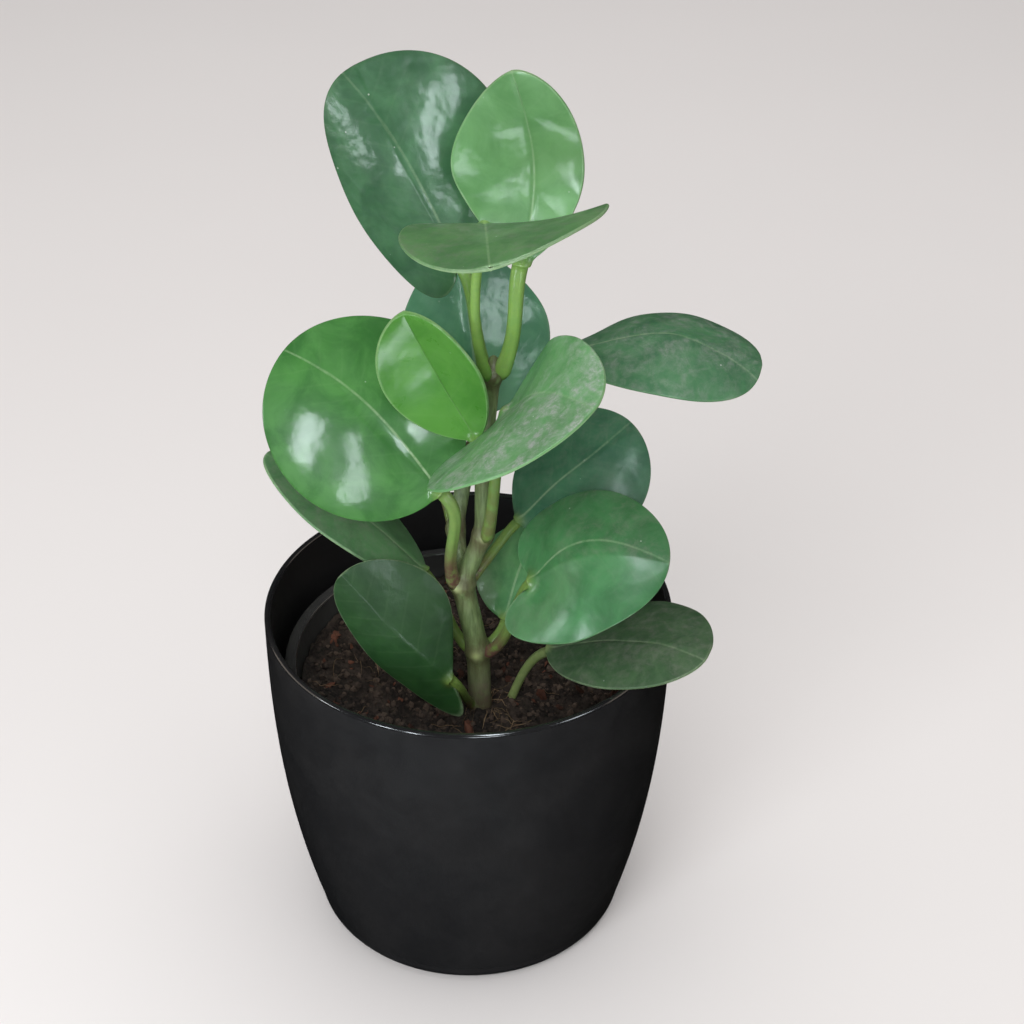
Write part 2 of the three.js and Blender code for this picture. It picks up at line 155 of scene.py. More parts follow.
def mesh_after_modifiers(piece):
    """The piece's modifiers are worked into its mesh and then removed."""
    evaluated = piece.evaluated_get(bpy.context.evaluated_depsgraph_get())
    mesh = bpy.data.meshes.new_from_object(evaluated)
    piece.modifiers.clear()
    piece.data = mesh
    return mesh


def stand_for(piece, node, finish):
    """The piece takes a CAD node's place, rides on the plant's one body, and wears a finish."""
    piece.data.materials.clear()
    piece.data.materials.append(finish)
    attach(piece, "root")
    if node:
        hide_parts(node)
    print(f"{piece.name}: {len(piece.data.polygons)} faces")


def turned_rings(profile, steps):
    """Rings of a turned shape: each profile point [radius, height] carried once round the Z axis."""
    profile = np.asarray(profile, float)
    turn = 2 * np.pi * np.arange(steps) / steps
    radius, height = profile[:, :1], profile[:, 1:]
    return np.stack([radius * np.cos(turn), radius * np.sin(turn), height + 0 * turn], -1)


# %% [markdown]
# ## The words of a material
#
# A finish is a small tree of nodes. Writing it by hand takes many lines, so a few short helpers carry it.
# Among them, one adds a node and fills its sockets, one mixes two colours, and one turns a range of
# values into an amount from 0 to 1. Patterns read Object coordinates, which are metres here, so a noise
# scale of 500 gives spots about 2 mm across.

# %% Node helpers
def new_finish(name):
    """An empty material with its principled shader, and the socket of its object coordinates."""
    material = bpy.data.materials.new(name)
    material.use_nodes = True
    tree = material.node_tree
    coordinates = tree.nodes.new("ShaderNodeTexCoord")
    return material, tree, tree.nodes["Principled BSDF"], coordinates.outputs["Object"]


def plug(tree, target, inputs):
    """Each named input of a node gets a link from a socket, or else a number or colour of its own."""
    for key, value in inputs.items():
        if isinstance(value, bpy.types.NodeSocket):
            tree.links.new(value, target.inputs[key])
        else:
            target.inputs[key].default_value = value


def node(tree, kind, inputs, out=0, **settings):
    """One node: settings are its own options, and inputs are plugged in. Returns one of its outputs."""
    made = tree.nodes.new("ShaderNode" + kind)
    for key, value in settings.items():
        setattr(made, key, value)
    plug(tree, made, inputs)
    return made.outputs[out]


def mixed(tree, amount, first, second):
    """Colour first where amount is 0, and second where it is 1."""
    colours = {6: first, 7: second}
    for key, colour in colours.items():
        if not isinstance(colour, bpy.types.NodeSocket):
            colours[key] = (*colour, 1.0)
    return node(tree, "Mix", {0: amount, **colours}, out=2, data_type="RGBA")


def spread(tree, value, low, high, to_low=0.0, to_high=1.0):
    """A smooth step from to_low, where value is low or less, to to_high, where it is high or more."""
    settings = {"Value": value, 1: low, 2: high, 3: to_low, 4: to_high}
    return node(tree, "MapRange", settings, interpolation_type="SMOOTHSTEP")


def times(tree, first, second):
    return node(tree, "Math", {0: first, 1: second}, operation="MULTIPLY")


def plus(tree, first, second):
    return node(tree, "Math", {0: first, 1: second}, operation="ADD")


def mark(tree, key):
    """The number that the mesh's points carry under a key."""
    return node(tree, "Attribute", {}, out="Fac", attribute_name=key)


def noise(tree, place, scale, detail=3.0, roughness=0.55, distortion=0.0):
    settings = {"Vector": place, "Scale": scale, "Detail": detail}
    return node(tree, "TexNoise", {**settings, "Roughness": roughness, "Distortion": distortion})


def specks(tree, place, scale, radii, share, fade, told_by="Color"):
    """Small dots, 1 in the middle and 0 outside, one in each Voronoi cell. Only a share of the cells,
    chosen by a random number from one of the cell's outputs, keeps its dot. radii are where the dot
    starts and ends to fade, and fade is the same for the choice."""
    cells = {"Vector": place, "Scale": scale}
    dots = spread(tree, node(tree, "TexVoronoi", cells, out="Distance"), *radii, 1.0, 0.0)
    chosen = node(tree, "TexWhiteNoise", {"Vector": node(tree, "TexVoronoi", cells, out=told_by)})
    return times(tree, dots, spread(tree, chosen, 1.0 - share, 1.0 - share + fade))


def bump(tree, height, strength, distance, below=None):
    settings = {"Height": height, "Strength": strength, "Distance": distance}
    if below is not None:
        settings["Normal"] = below
    return node(tree, "Bump", settings)


# %% [markdown]
# ## Camera, floor and light
#
# The picture is taken from a little above the plant with a long lens, so the pot's mouth shows as a wide
# ellipse. The plant stands on a plain pale floor. Its leaves are glossy, and gloss needs something to
# mirror. The panes of a bluish window on the left make the long bright streaks, and a few small lights in
# front and on the right make the glints on the crown, on the young leaf and on the pot's rim. Two wide
# warm ones at the sides put a faint sheen on the pot. They all hardly light the plant: a wide soft light
# overhead and another one in front do that, and neither of those shows in the gloss.

# %% Camera
CAMERA_PLACE = np.array([0.0, -560.5, 540.3])
CAMERA_PITCH, CAMERA_YAW, CAMERA_ROLL = (math.radians(a) for a in (34.33, 1.44, -0.4))
CAMERA_LENS = 74.64               # on a 36 mm sensor


def camera_matrix():
    """Forward looks down by the pitch and right by the yaw, and the picture is rolled about it."""
    turn = np.array(Matrix.Rotation(-CAMERA_YAW, 3, "Z"))
    forward = turn @ [0.0, math.cos(CAMERA_PITCH), -math.sin(CAMERA_PITCH)]
    upright = turn @ [0.0, math.sin(CAMERA_PITCH), math.cos(CAMERA_PITCH)]
    level = turn @ [1.0, 0.0, 0.0]
    up = upright * math.cos(CAMERA_ROLL) + level * math.sin(CAMERA_ROLL)
    right = level * math.cos(CAMERA_ROLL) - upright * math.sin(CAMERA_ROLL)
    matrix = np.eye(4)
    matrix[:3] = np.stack([right, up, -forward, CAMERA_PLACE * MM], 1)
    return Matrix(matrix.tolist())


camera_data = bpy.data.cameras.new("camera")
camera_data.lens = CAMERA_LENS
camera_data.clip_start = 0.01
camera = bpy.data.objects.new("camera", camera_data)
camera.matrix_world = camera_matrix()
bpy.context.scene.collection.objects.link(camera)
bpy.context.scene.camera = camera
print("camera looks from", tuple(round(c, 3) for c in camera.location))

# %% Lights
MIDDLE = Vector((0.0, -0.02, 0.19))
CROWN = Vector((0.0, -0.01, 0.28))
YOUNG = Vector((-0.020, -0.027, 0.231))
SKY_BLUE, WHITE, LAMP_WARM = (0.86, 0.94, 1.0), (1.0, 1.0, 1.0), (1.0, 0.86, 0.72)


def soft_light(name, place, size, power, colour, aim=MIDDLE, mirrored=True, lights_matter=True):
    """A rectangular light, its width and height in metres, aimed at the middle of the plant or at another
    place, with its height upright. Where mirrored is off, glossy things don't show it, so it only
    brightens. Where lights_matter is off, it brightens nothing and only shows in glossy things."""
    data = bpy.data.lights.new(name, "AREA")
    data.shape = "RECTANGLE"
    data.size, data.size_y = size
    data.energy = power
    data.color = colour
    light = bpy.data.objects.new(name, data)
    light.location = place
    light.rotation_euler = (aim - Vector(place)).to_track_quat("-Z", "Y").to_euler()
    light.visible_camera = False
    light.visible_glossy = mirrored
    light.visible_diffuse = lights_matter
    bpy.context.scene.collection.objects.link(light)


def glint(name, place, size, power, colour=SKY_BLUE, aim=MIDDLE):
    """A light that shows in glossy things only."""
    soft_light(name, place, size, power, colour, aim, lights_matter=False)


soft_light("window_left", (-0.48, -0.55, 0.175), (0.10, 0.17), 1.00, SKY_BLUE)
soft_light("window_near", (-0.245, -0.49, 0.118), (0.045, 0.22), 0.42, SKY_BLUE)
glint("window_side", (-0.53, -0.18, 0.165), (0.10, 0.07), 0.28)
glint("window_right", (0.55, -0.39, 0.40), (0.16, 0.30), 0.90)
glint("front_tall", (0.045, -0.205, 0.365), (0.034, 0.20), 0.34, aim=CROWN)
glint("front_low", (0.09, -0.62, 0.07), (0.16, 0.11), 0.60)
glint("crown_card", (0.016, -0.044, 0.280), (0.009, 0.013), 0.0042, aim=CROWN)
glint("young_card", (-0.010, -0.050, 0.2135), (0.005, 0.007), 0.0009, aim=YOUNG)
glint("warm_left", (-1.4, 0.1, 0.25), (1.2, 0.9), 2.6, LAMP_WARM)
glint("warm_right", (1.4, 0.1, 0.25), (1.2, 0.9), 2.6, LAMP_WARM)
soft_light("overhead", (0.1, 0.3, 2.4), (2.6, 2.6), 29.0, WHITE, mirrored=False)
soft_light("front_fill", (-0.5, -1.7, 1.5), (1.6, 1.2), 29.0, WHITE, mirrored=False)

world = bpy.data.worlds.new("room")
bpy.context.scene.world = world
world.use_nodes = True
room_light = {"Color": (0.80, 0.78, 0.77, 1.0), "Strength": 0.52}
plug(world.node_tree, world.node_tree.nodes["Background"], room_light)
world.cycles_visibility.glossy = False
bpy.context.scene.view_settings.view_transform = "Standard"

# %% Floor
FLOOR_RADIUS, FLOOR_DEPTH = 4000.0, 20.0
FLOOR_COLOUR, FAINT_SHADE = (0.80, 0.77, 0.76), 0.985
floor_rings = turned_rings([[FLOOR_RADIUS, -FLOOR_DEPTH], [FLOOR_RADIUS, 0.0]], 64)
floor = make_piece("floor", swept(floor_rings, [0, 0, -FLOOR_DEPTH], [0, 0, 0]))
floor_finish, tree, shader, place = new_finish("pale_floor")
faint = spread(tree, noise(tree, place, 3.0), 0.3, 0.7)
shaded = [FAINT_SHADE * c for c in FLOOR_COLOUR]
plug(tree, shader, {"Base Color": mixed(tree, faint, FLOOR_COLOUR, shaded), "Roughness": 0.85})
floor.data.materials.append(floor_finish)
floor.visible_glossy = False

# %% [markdown]
# ## The cover pot
#
# The outer pot is injection-moulded plastic, satin black, with a wall that draws in slowly at first and
# then faster towards a rounded foot. It is a turned shape: one outline carried round the axis. The
# outline goes out along the underside, round the foot, up the wall, over the thin rounded rim, and down
# inside to the floor.

# %% Cover pot
POT_STEPS = 224
cover_high = np.array(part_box("cover_pot"))[1] / MM
COVER_HEIGHT = cover_high[2]
RIM_RADIUS = cover_high[0]
COVER_TAPER, COVER_CURVE = 15.0, 2.4
COVER_WALL, COVER_FLOOR, FOOT_FILLET, INNER_FOOT = 2.0, 3.0, 6.0, 9.0


def cover_wall_radius(height):
    """Rim radius less the taper times a power of how far below the rim the height lies."""
    return RIM_RADIUS - COVER_TAPER * (1 - np.asarray(height) / COVER_HEIGHT) ** COVER_CURVE


def arc(centre, radius, from_degrees, to_degrees, count):
    """Points [radius, height] on a circle in the outline's plane."""
    turn = np.radians(np.linspace(from_degrees, to_degrees, count))
    return np.stack([centre[0] + radius * np.cos(turn), centre[1] + radius * np.sin(turn)], -1)


def cover_pot_outline():
    """Underside, foot arc, wall by cover_wall_radius, half circle over the rim, inner wall, floor."""
    foot_centre = cover_wall_radius(FOOT_FILLET) - FOOT_FILLET
    rim = COVER_WALL / 2
    top = COVER_HEIGHT - rim
    outer_heights = np.linspace(FOOT_FILLET + 1, top - 1, 44)
    inner_heights = np.linspace(top - 1, INNER_FOOT, 30)
    return np.concatenate([
        [[foot_centre * 0.5, 0.0], [foot_centre - 3, 0.0]],
        arc((foot_centre, FOOT_FILLET), FOOT_FILLET, -90, 0, 10),
        np.stack([cover_wall_radius(outer_heights), outer_heights], -1),
        arc((RIM_RADIUS - rim, top), rim, 0, 180, 11),
        np.stack([cover_wall_radius(inner_heights) - COVER_WALL, inner_heights], -1),
        [[foot_centre, COVER_FLOOR], [foot_centre * 0.5, COVER_FLOOR]],
    ])


cover_rings = turned_rings(cover_pot_outline(), POT_STEPS)
cover_pot = make_piece("cover_pot_shell", swept(cover_rings, [0, 0, 0], [0, 0, COVER_FLOOR]))
print("cover pot:", len(cover_rings), "rings,", round(2 * RIM_RADIUS, 1), "mm across the rim")

# %% [markdown]
# Black plastic is never quite black. Dust makes it greyer in soft patches, handling polishes it in
# others, and a mould leaves a very fine grain. So the colour moves a little between two dark greys, the
# roughness between satin and smooth, and a fine noise lifts the surface by a few hundredths of a
# millimetre.

# %% Cover pot finish
def black_plastic(name, dark, dusty, smooth, rough, grain, speck_share, rim_height):
    """Satin black plastic with dusty patches, a few pale specks, a moulded grain and a polished rim."""
    material, tree, shader, place = new_finish(name)
    patches = spread(tree, noise(tree, place, 22.0, 5.0, 0.6, 0.4), 0.35, 0.75)
    pale = specks(tree, place, 95.0, (0.02, 0.05), speck_share, 0.01, told_by="Position")
    rubbed = noise(tree, place, 60.0, 6.0, 0.65, 0.8)
    satin = spread(tree, rubbed, 0.3, 0.7, smooth, rough)
    plastic = mixed(tree, patches, dark, dusty)
    height = node(tree, "SeparateXYZ", {"Vector": place}, out="Z")
    at_rim = spread(tree, height, (rim_height - 1.6) * MM, (rim_height - 0.8) * MM)
    plug(tree, shader, {
        "Base Color": mixed(tree, times(tree, pale, 0.5), plastic, (0.3, 0.3, 0.29)),
        "Roughness": node(tree, "Mix", {0: at_rim, 2: satin, 3: 0.13}, data_type="FLOAT"),
        "Specular IOR Level": 0.6,
        "Coat Weight": at_rim,
        "Coat Roughness": 0.12,
        "Normal": bump(tree, noise(tree, place, 2600.0, 2.0), grain, 0.00008),
    })
    return material


cover_finish = black_plastic(
    "cover_pot_plastic", dark=(0.012, 0.012, 0.013), dusty=(0.018, 0.0175, 0.018), smooth=0.34, rough=0.46,
    grain=0.35, speck_share=0.06, rim_height=COVER_HEIGHT)
stand_for(cover_pot, "cover_pot", cover_finish)

# %% [markdown]
# ## The nursery pot
#
# The grower's pot is thin plastic sheet, drawn over a mould. Only its rolled lip and a strip of its inner
# wall show, well below the cover pot's rim. It is turned like the cover pot, from its own outline.

# %% Nursery pot
nursery_low, nursery_high = (np.array(corner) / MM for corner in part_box("nursery_pot"))
LIP_TOP, LIP_RADIUS = nursery_high[2], round(nursery_high[0], 1)
NURSERY_FLOOR = nursery_low[2]
LIP_HEIGHT, NURSERY_TOP, NURSERY_FOOT, NURSERY_WALL = 5.0, 58.8, 44.0, 1.3
LIP_INNER = NURSERY_TOP - NURSERY_WALL
LIP_FOOT = LIP_TOP - LIP_HEIGHT
DRAIN_CIRCLE, DRAIN_RADIUS, DRAIN_HOLES = 28.0, 4.0, 8


def nursery_inner_radius(height):
    """A straight taper from the foot of the inner wall to the foot of the lip."""
    rise = (height - NURSERY_FLOOR - 3) / (LIP_FOOT - NURSERY_FLOOR - 3)
    return (NURSERY_FOOT - NURSERY_WALL) * (1 - rise) + LIP_INNER * rise


nursery_outline = np.concatenate([
    [[20.0, NURSERY_FLOOR], [NURSERY_FOOT - 2, NURSERY_FLOOR], [NURSERY_FOOT, NURSERY_FLOOR + 2]],
    np.linspace([NURSERY_FOOT, NURSERY_FLOOR + 2], [NURSERY_TOP, LIP_FOOT], 20)[1:],
    arc((LIP_RADIUS - 0.5, LIP_FOOT + 0.5), 0.5, -90, 0, 5),
    arc((LIP_RADIUS - 1.4, LIP_TOP - 1.4), 1.4, 0, 90, 8),
    arc((LIP_INNER + 1.2, LIP_TOP - 1.2), 1.2, 90, 180, 8),
    [[nursery_inner_radius(h), h] for h in np.linspace(LIP_FOOT, NURSERY_FLOOR + 3, 16)],
    [[NURSERY_FOOT - 3, NURSERY_FLOOR + NURSERY_WALL], [20.0, NURSERY_FLOOR + NURSERY_WALL]],
])
nursery_rings = turned_rings(nursery_outline, POT_STEPS)
poles = [0, 0, NURSERY_FLOOR], [0, 0, NURSERY_FLOOR + NURSERY_WALL]
nursery_pot = make_piece("nursery_pot_shell", swept(nursery_rings, *poles))


def with_holes(piece, circle, radius, count):
    """Upright holes through the piece's floor, spread evenly on a circle, by a boolean modifier."""
    turn = 2 * np.pi * np.arange(count) / count
    middles = np.stack([circle * np.cos(turn), circle * np.sin(turn), 0 * turn], -1)
    below, above = NURSERY_FLOOR - 2, NURSERY_FLOOR + 2.5
    pin = turned_rings([[radius, below], [radius, above]], 32)
    ends = np.array([[0, 0, below], [0, 0, above]])
    pins = [swept(pin + middle, *(ends + middle)) for middle in middles]
    cutter = make_piece("drain_pins", joined(*pins))
    holes = piece.modifiers.new("holes", "BOOLEAN")
    holes.operation, holes.solver, holes.object = "DIFFERENCE", "EXACT", cutter
    mesh = mesh_after_modifiers(piece)
    bpy.data.objects.remove(cutter)
    print(f"{piece.name}: {count} holes, {len(mesh.polygons)} faces")


with_holes(nursery_pot, DRAIN_CIRCLE, DRAIN_RADIUS, DRAIN_HOLES)
nursery_finish = black_plastic(
    "nursery_pot_plastic", dark=(0.033, 0.033, 0.033), dusty=(0.066, 0.066, 0.063), smooth=0.40, rough=0.6,
    grain=0.5, speck_share=0.15, rim_height=LIP_TOP)
stand_for(nursery_pot, "nursery_pot", nursery_finish)

# %% [markdown]
# ## Potting mix
#
# The mix is damp peat with bark and coir in it. Its surface is lumpy at every size, so its height is a
# sum of waves: a few long ones, the same as in the solid underneath, and several bands of short ones with
# random directions and phases. Random draws use a seed, so the surface is the same each time.

# %% Soil surface
SOIL_TOP, SOIL_RELIEF = 92.0, 1.6
SOIL_GAP = 0.33
SOIL_RADIUS = nursery_inner_radius(SOIL_TOP) - SOIL_GAP
SOIL_BASE = NURSERY_FLOOR + NURSERY_WALL + 0.3
soil_random = np.random.default_rng(41)
WAVE_BANDS = [(9.0, 0.45), (4.5, 0.40), (2.4, 0.30), (1.3, 0.16)]   # wavelength and height, in mm
WAVES_IN_BAND = 14
band_length = np.repeat([length for length, _ in WAVE_BANDS], WAVES_IN_BAND)
band_height = np.repeat([height for _, height in WAVE_BANDS], WAVES_IN_BAND) / math.sqrt(WAVES_IN_BAND)
wave_turn = soil_random.uniform(0, 2 * np.pi, len(band_length))
wave_number = 2 * np.pi / (band_length * soil_random.uniform(0.75, 1.35, len(band_length)))
wave_phase = soil_random.uniform(0, 2 * np.pi, len(band_length))


def soil_height(x, y):
    """The solid's long lumps plus short waves, whose crests are higher than their troughs are deep."""
    long_lumps = SOIL_RELIEF * (
        0.5 * np.sin(0.31 * x + 0.5) * np.cos(0.27 * y)
        + 0.3 * np.sin(0.62 * x - 0.48 * y + 1.2)
        + 0.2 * np.cos(0.9 * x + 0.7 * y)
    )
    path = np.multiply.outer(x, np.cos(wave_turn)) + np.multiply.outer(y, np.sin(wave_turn))
    short = np.sin(path * wave_number + wave_phase) @ band_height
    return SOIL_TOP + long_lumps + short + 0.35 * np.abs(short)


SOIL_STEPS, SOIL_RINGS = 300, 110
side_heights = np.linspace(SOIL_BASE + 2.5, SOIL_TOP - 3, 8)
side = np.stack([nursery_inner_radius(side_heights) - SOIL_GAP, side_heights], -1)
soil_outline = np.concatenate([
    [[20.0, SOIL_BASE], [nursery_inner_radius(SOIL_BASE) - 3, SOIL_BASE]],
    side,
    [[share * SOIL_RADIUS, SOIL_TOP] for share in np.linspace(0.992, 0.01, SOIL_RINGS)],
])
soil_rings = turned_rings(soil_outline, SOIL_STEPS)
top_rings = soil_rings[-SOIL_RINGS:]
top_rings[..., 2] = soil_height(top_rings[..., 0], top_rings[..., 1])
soil_middle = soil_height(np.zeros(1), np.zeros(1))[0]
soil = make_piece("soil_body", swept(soil_rings, [0, 0, SOIL_BASE], [0, 0, soil_middle]))
lowest, highest = top_rings[..., 2].min(), top_rings[..., 2].max()
print(f"soil: surface between {lowest:.1f} and {highest:.1f} mm")

# %% [markdown]
# Loose crumbs and bark chips lie on the surface. Each is a twenty-faced solid, squashed, dented and
# turned at random. All crumbs are worked out together as one array of shape (chip, corner, axis) and
# become one mesh, and all bark chips become another.

# %% Crumbs and bark chips
GOLDEN = (1 + math.sqrt(5)) / 2
CHIP_CORNERS = np.array([
    [-1, GOLDEN, 0], [1, GOLDEN, 0], [-1, -GOLDEN, 0], [1, -GOLDEN, 0], [0, -1, GOLDEN], [0, 1, GOLDEN],
    [0, -1, -GOLDEN], [0, 1, -GOLDEN], [GOLDEN, 0, -1], [GOLDEN, 0, 1], [-GOLDEN, 0, -1], [-GOLDEN, 0, 1],
]) / math.hypot(1, GOLDEN)
CHIP_FACES = np.array([
    [0, 11, 5], [0, 5, 1], [0, 1, 7], [0, 7, 10], [0, 10, 11],
    [1, 5, 9], [5, 11, 4], [11, 10, 2], [10, 7, 6], [7, 1, 8],
    [3, 9, 4], [3, 4, 2], [3, 2, 6], [3, 6, 8], [3, 8, 9],
    [4, 9, 5], [2, 4, 11], [6, 2, 10], [8, 6, 7], [9, 8, 1],
])


def random_turns(random, count):
    """Random rotation matrices, each from a random unit quaternion."""
    w, x, y, z = random.normal(size=(count, 4)).T
    size = np.sqrt(w * w + x * x + y * y + z * z)
    w, x, y, z = w / size, x / size, y / size, z / size
    return np.stack([
        np.stack([1 - 2 * (y * y + z * z), 2 * (x * y - w * z), 2 * (x * z + w * y)], -1),
        np.stack([2 * (x * y + w * z), 1 - 2 * (x * x + z * z), 2 * (y * z - w * x)], -1),
        np.stack([2 * (x * z - w * y), 2 * (y * z + w * x), 1 - 2 * (x * x + y * y)], -1),
    ], -2)


def scattered_chips(random, count, smallest, largest, stretch, sink):
    """Chips spread evenly over the soil, most of them small. stretch is each chip's length, width and
    height against its size, and sink is how deep its middle lies, as a share of its size."""
    size = smallest + (largest - smallest) * random.random(count) ** 3
    distance = (SOIL_RADIUS - 1.2 * largest) * np.sqrt(random.random(count))
    turn = random.uniform(0, 2 * np.pi, count)
    x, y = distance * np.cos(turn), distance * np.sin(turn)
    corner_count = len(CHIP_CORNERS)
    dents = random.uniform(0.7, 1.25, (count, corner_count, 1))
    dented = CHIP_CORNERS * dents * np.asarray(stretch) * size[:, None, None]
    turned = np.einsum("nij,nkj->nki", random_turns(random, count), dented)
    middles = np.stack([x, y, soil_height(x, y) - sink * size], -1)
    corners = (middles[:, None, :] + turned).reshape(-1, 3)
    faces = (CHIP_FACES[None] + corner_count * np.arange(count)[:, None, None]).reshape(-1, 3)
    tone = np.repeat(random.random(count), corner_count)
    return (corners, np.zeros((0, 4), int), faces), tone


chip_random = np.random.default_rng(7)
crumb_surface, crumb_tone = scattered_chips(
    chip_random, 2600, smallest=0.35, largest=1.9, stretch=(1.0, 0.85, 0.75), sink=0.1)
bark_surface, bark_tone = scattered_chips(
    chip_random, 150, smallest=0.9, largest=3.4, stretch=(1.35, 0.9, 0.45), sink=0.0)
crumbs = make_piece("soil_crumbs", crumb_surface, {"tone": crumb_tone})
bark = make_piece("bark_chips", bark_surface, {"tone": bark_tone})
shade(crumbs.data, smooth=False)
shade(bark.data, smooth=False)

# %% [markdown]
# Coir fibres are thin, springy and orange-brown. Each one is a narrow tube along a path that bends at a
# steady rate and arches up from the soil, as the fibres do where they break the surface.

# %% Coir fibres
FIBRE_STEPS, FIBRE_SIDES = 14, 5
STREWN, TANGLED, ROOTS = 44, 34, 30
TANGLE_X, TANGLE_Y = 11, -38
STEM_FOOT, STEM_FOOT_RADIUS = (4.0, -17.0), 4.2


def fibre_paths(random, x, y, heading, longest, highest):
    """Paths of shape (fibre, step, axis) from starts x, y. The heading turns evenly along each, and the
    height follows the soil with an arch that rises in the middle. longest and highest bound the random
    lengths and arches."""
    count = len(x)
    length = random.uniform(0.3, 1.0, (count, 1)) * longest
    travel = np.linspace(0, 1, FIBRE_STEPS)[None]
    heading = heading[:, None] + random.normal(0, 1.1, (count, 1)) * travel
    step = length / (FIBRE_STEPS - 1)
    x = x[:, None] + np.cumsum(np.cos(heading) * step, 1)
    y = y[:, None] + np.cumsum(np.sin(heading) * step, 1)
    inside = np.minimum(1, (SOIL_RADIUS - 2) / np.hypot(x, y))
    x, y = x * inside, y * inside
    arch = random.uniform(0.1, 1.0, (count, 1)) * highest * np.sin(np.pi * travel)
    return np.stack([x, y, soil_height(x, y) + arch + 0.15], -1)


def all_fibres(random):
    """Fibres strewn over the soil, a tangle of them before the stem, and thin roots from its foot."""
    distance = (SOIL_RADIUS - 12) * np.sqrt(random.random(STREWN))
    turn = random.uniform(0, 2 * np.pi, STREWN)
    x, y = distance * np.cos(turn), distance * np.sin(turn)
    strewn = fibre_paths(random, x, y, random.uniform(0, 7, STREWN), longest=17, highest=2.0)
    x, y = random.normal(TANGLE_X, 5, TANGLED), random.normal(TANGLE_Y, 3, TANGLED)
    tangle = fibre_paths(random, x, y, random.uniform(0, 7, TANGLED), longest=12, highest=3.0)
    turn = random.uniform(0, 2 * np.pi, ROOTS)
    x = STEM_FOOT[0] + STEM_FOOT_RADIUS * np.cos(turn)
    y = STEM_FOOT[1] + STEM_FOOT_RADIUS * np.sin(turn)
    roots = fibre_paths(random, x, y, turn + random.normal(0, 0.5, ROOTS), longest=11, highest=1.6)
    return np.concatenate([strewn, tangle, roots])


def fibre_surface(random):
    """A five-sided tube round each path, thin and closed at both ends, with a random tone."""
    paths = all_fibres(random)
    count = len(paths)
    tangent = np.gradient(paths, axis=1)
    tangent /= np.linalg.norm(tangent, axis=-1, keepdims=True)
    side = np.cross(tangent, UP)
    side /= np.linalg.norm(side, axis=-1, keepdims=True)
    over = np.cross(side, tangent)
    ends = np.sin(np.pi * np.linspace(0.08, 0.92, FIBRE_STEPS)) ** 0.5
    radius = random.uniform(0.06, 0.15, (count, 1)) * ends
    turn = 2 * np.pi * np.arange(FIBRE_SIDES) / FIBRE_SIDES
    ring = np.cos(turn)[:, None] * -side[:, :, None] + np.sin(turn)[:, None] * over[:, :, None]
    rings = paths[:, :, None] + radius[..., None, None] * ring
    tubes = [swept(rings[i], paths[i, 0], paths[i, -1]) for i in range(count)]
    tone = np.repeat(random.random(count), FIBRE_STEPS * FIBRE_SIDES + 2)
    return joined(*tubes), tone


fibres_surface, fibre_tone = fibre_surface(np.random.default_rng(23))
fibres = make_piece("coir_fibres", fibres_surface, {"tone": fibre_tone})

# %% [markdown]
# Damp peat is nearly black with a red-brown cast. Bark chips are redder and lighter, and fibres run from
# rust to straw. One function paints all four, from two end colours, the piece's own random tone, and a
# fine noise.

# %% Soil finishes
def earth(name, dark, light, varied, rough, relief):
    """Rough matter between two colours. varied says whether each chip or fibre has its own tone."""
    material, tree, shader, place = new_finish(name)
    grains = spread(tree, noise(tree, place, 700.0, 6.0, 0.7), 0.35, 0.75)
    if varied:
        amount = plus(tree, times(tree, mark(tree, "tone"), 0.75), times(tree, grains, 0.35))
    else:
        patches = spread(tree, noise(tree, place, 120.0, 4.0, 0.6), 0.4, 0.7)
        amount = plus(tree, times(tree, patches, 0.5), times(tree, grains, 0.5))
    plug(tree, shader, {
        "Base Color": mixed(tree, amount, dark, light),
        "Roughness": rough,
        "Specular IOR Level": 0.3,
        "Normal": bump(tree, noise(tree, place, 1500.0, 5.0, 0.7), 0.8, relief),
    })
    return material


peat = earth("peat", (0.012, 0.010, 0.009), (0.072, 0.054, 0.043), varied=False, rough=0.9, relief=0.0006)
crumb = earth("crumb", (0.011, 0.009, 0.008), (0.098, 0.071, 0.055), varied=True, rough=0.88, relief=0.0003)
chip = earth("bark", (0.026, 0.014, 0.010), (0.150, 0.060, 0.038), varied=True, rough=0.8, relief=0.0003)
coir = earth("coir", (0.050, 0.032, 0.018), (0.32, 0.22, 0.13), varied=True, rough=0.7, relief=0.0001)
stand_for(soil, "soil", peat)
for piece, finish in ((crumbs, crumb), (bark, chip), (fibres, coir)):
    stand_for(piece, None, finish)

# %% [markdown]
# ## The stem
#
# A peperomia's stem is soft and juicy, with a swollen joint wherever a leaf or a shoot grows. The joints
# are the same places as in the solid. A tube runs through them with a radius that swells at each, the
# shoot is a second tube, and a voxel remesh melts the two into one skin, as they are on the plant.

# %% Joints
JOINTS = {
    "root": ((4, -17, 76), 4.2), "collar": ((3.5, -17, 93), 4.1), "first": ((3, -17, 115), 4.6),
    "fork": ((-2, -16, 141.5), 4.7), "third": ((4.7, -17, 160.5), 3.8), "fourth": ((4.8, -18, 188), 3.4),
    "crown": ((7.5, -18, 219), 3.6), "bud": ((8, -17, 225), 1.9),
    "back_first": ((-4, -7, 156), 3.4), "back_top": ((1, 3, 182), 3.2),
}
MAIN_STEM = ["root", "collar", "first", "fork", "third", "fourth", "crown", "bud"]
MAIN_RADII = [3.8, 3.8, 3.6, 3.0, 2.7, 2.5, 1.7]
BACK_SHOOT = ["fork", "back_first", "back_top"]
BACK_RADII = [2.8, 2.5]
SWELLING_WIDTH, STEM_SIDES = 2.6, 28


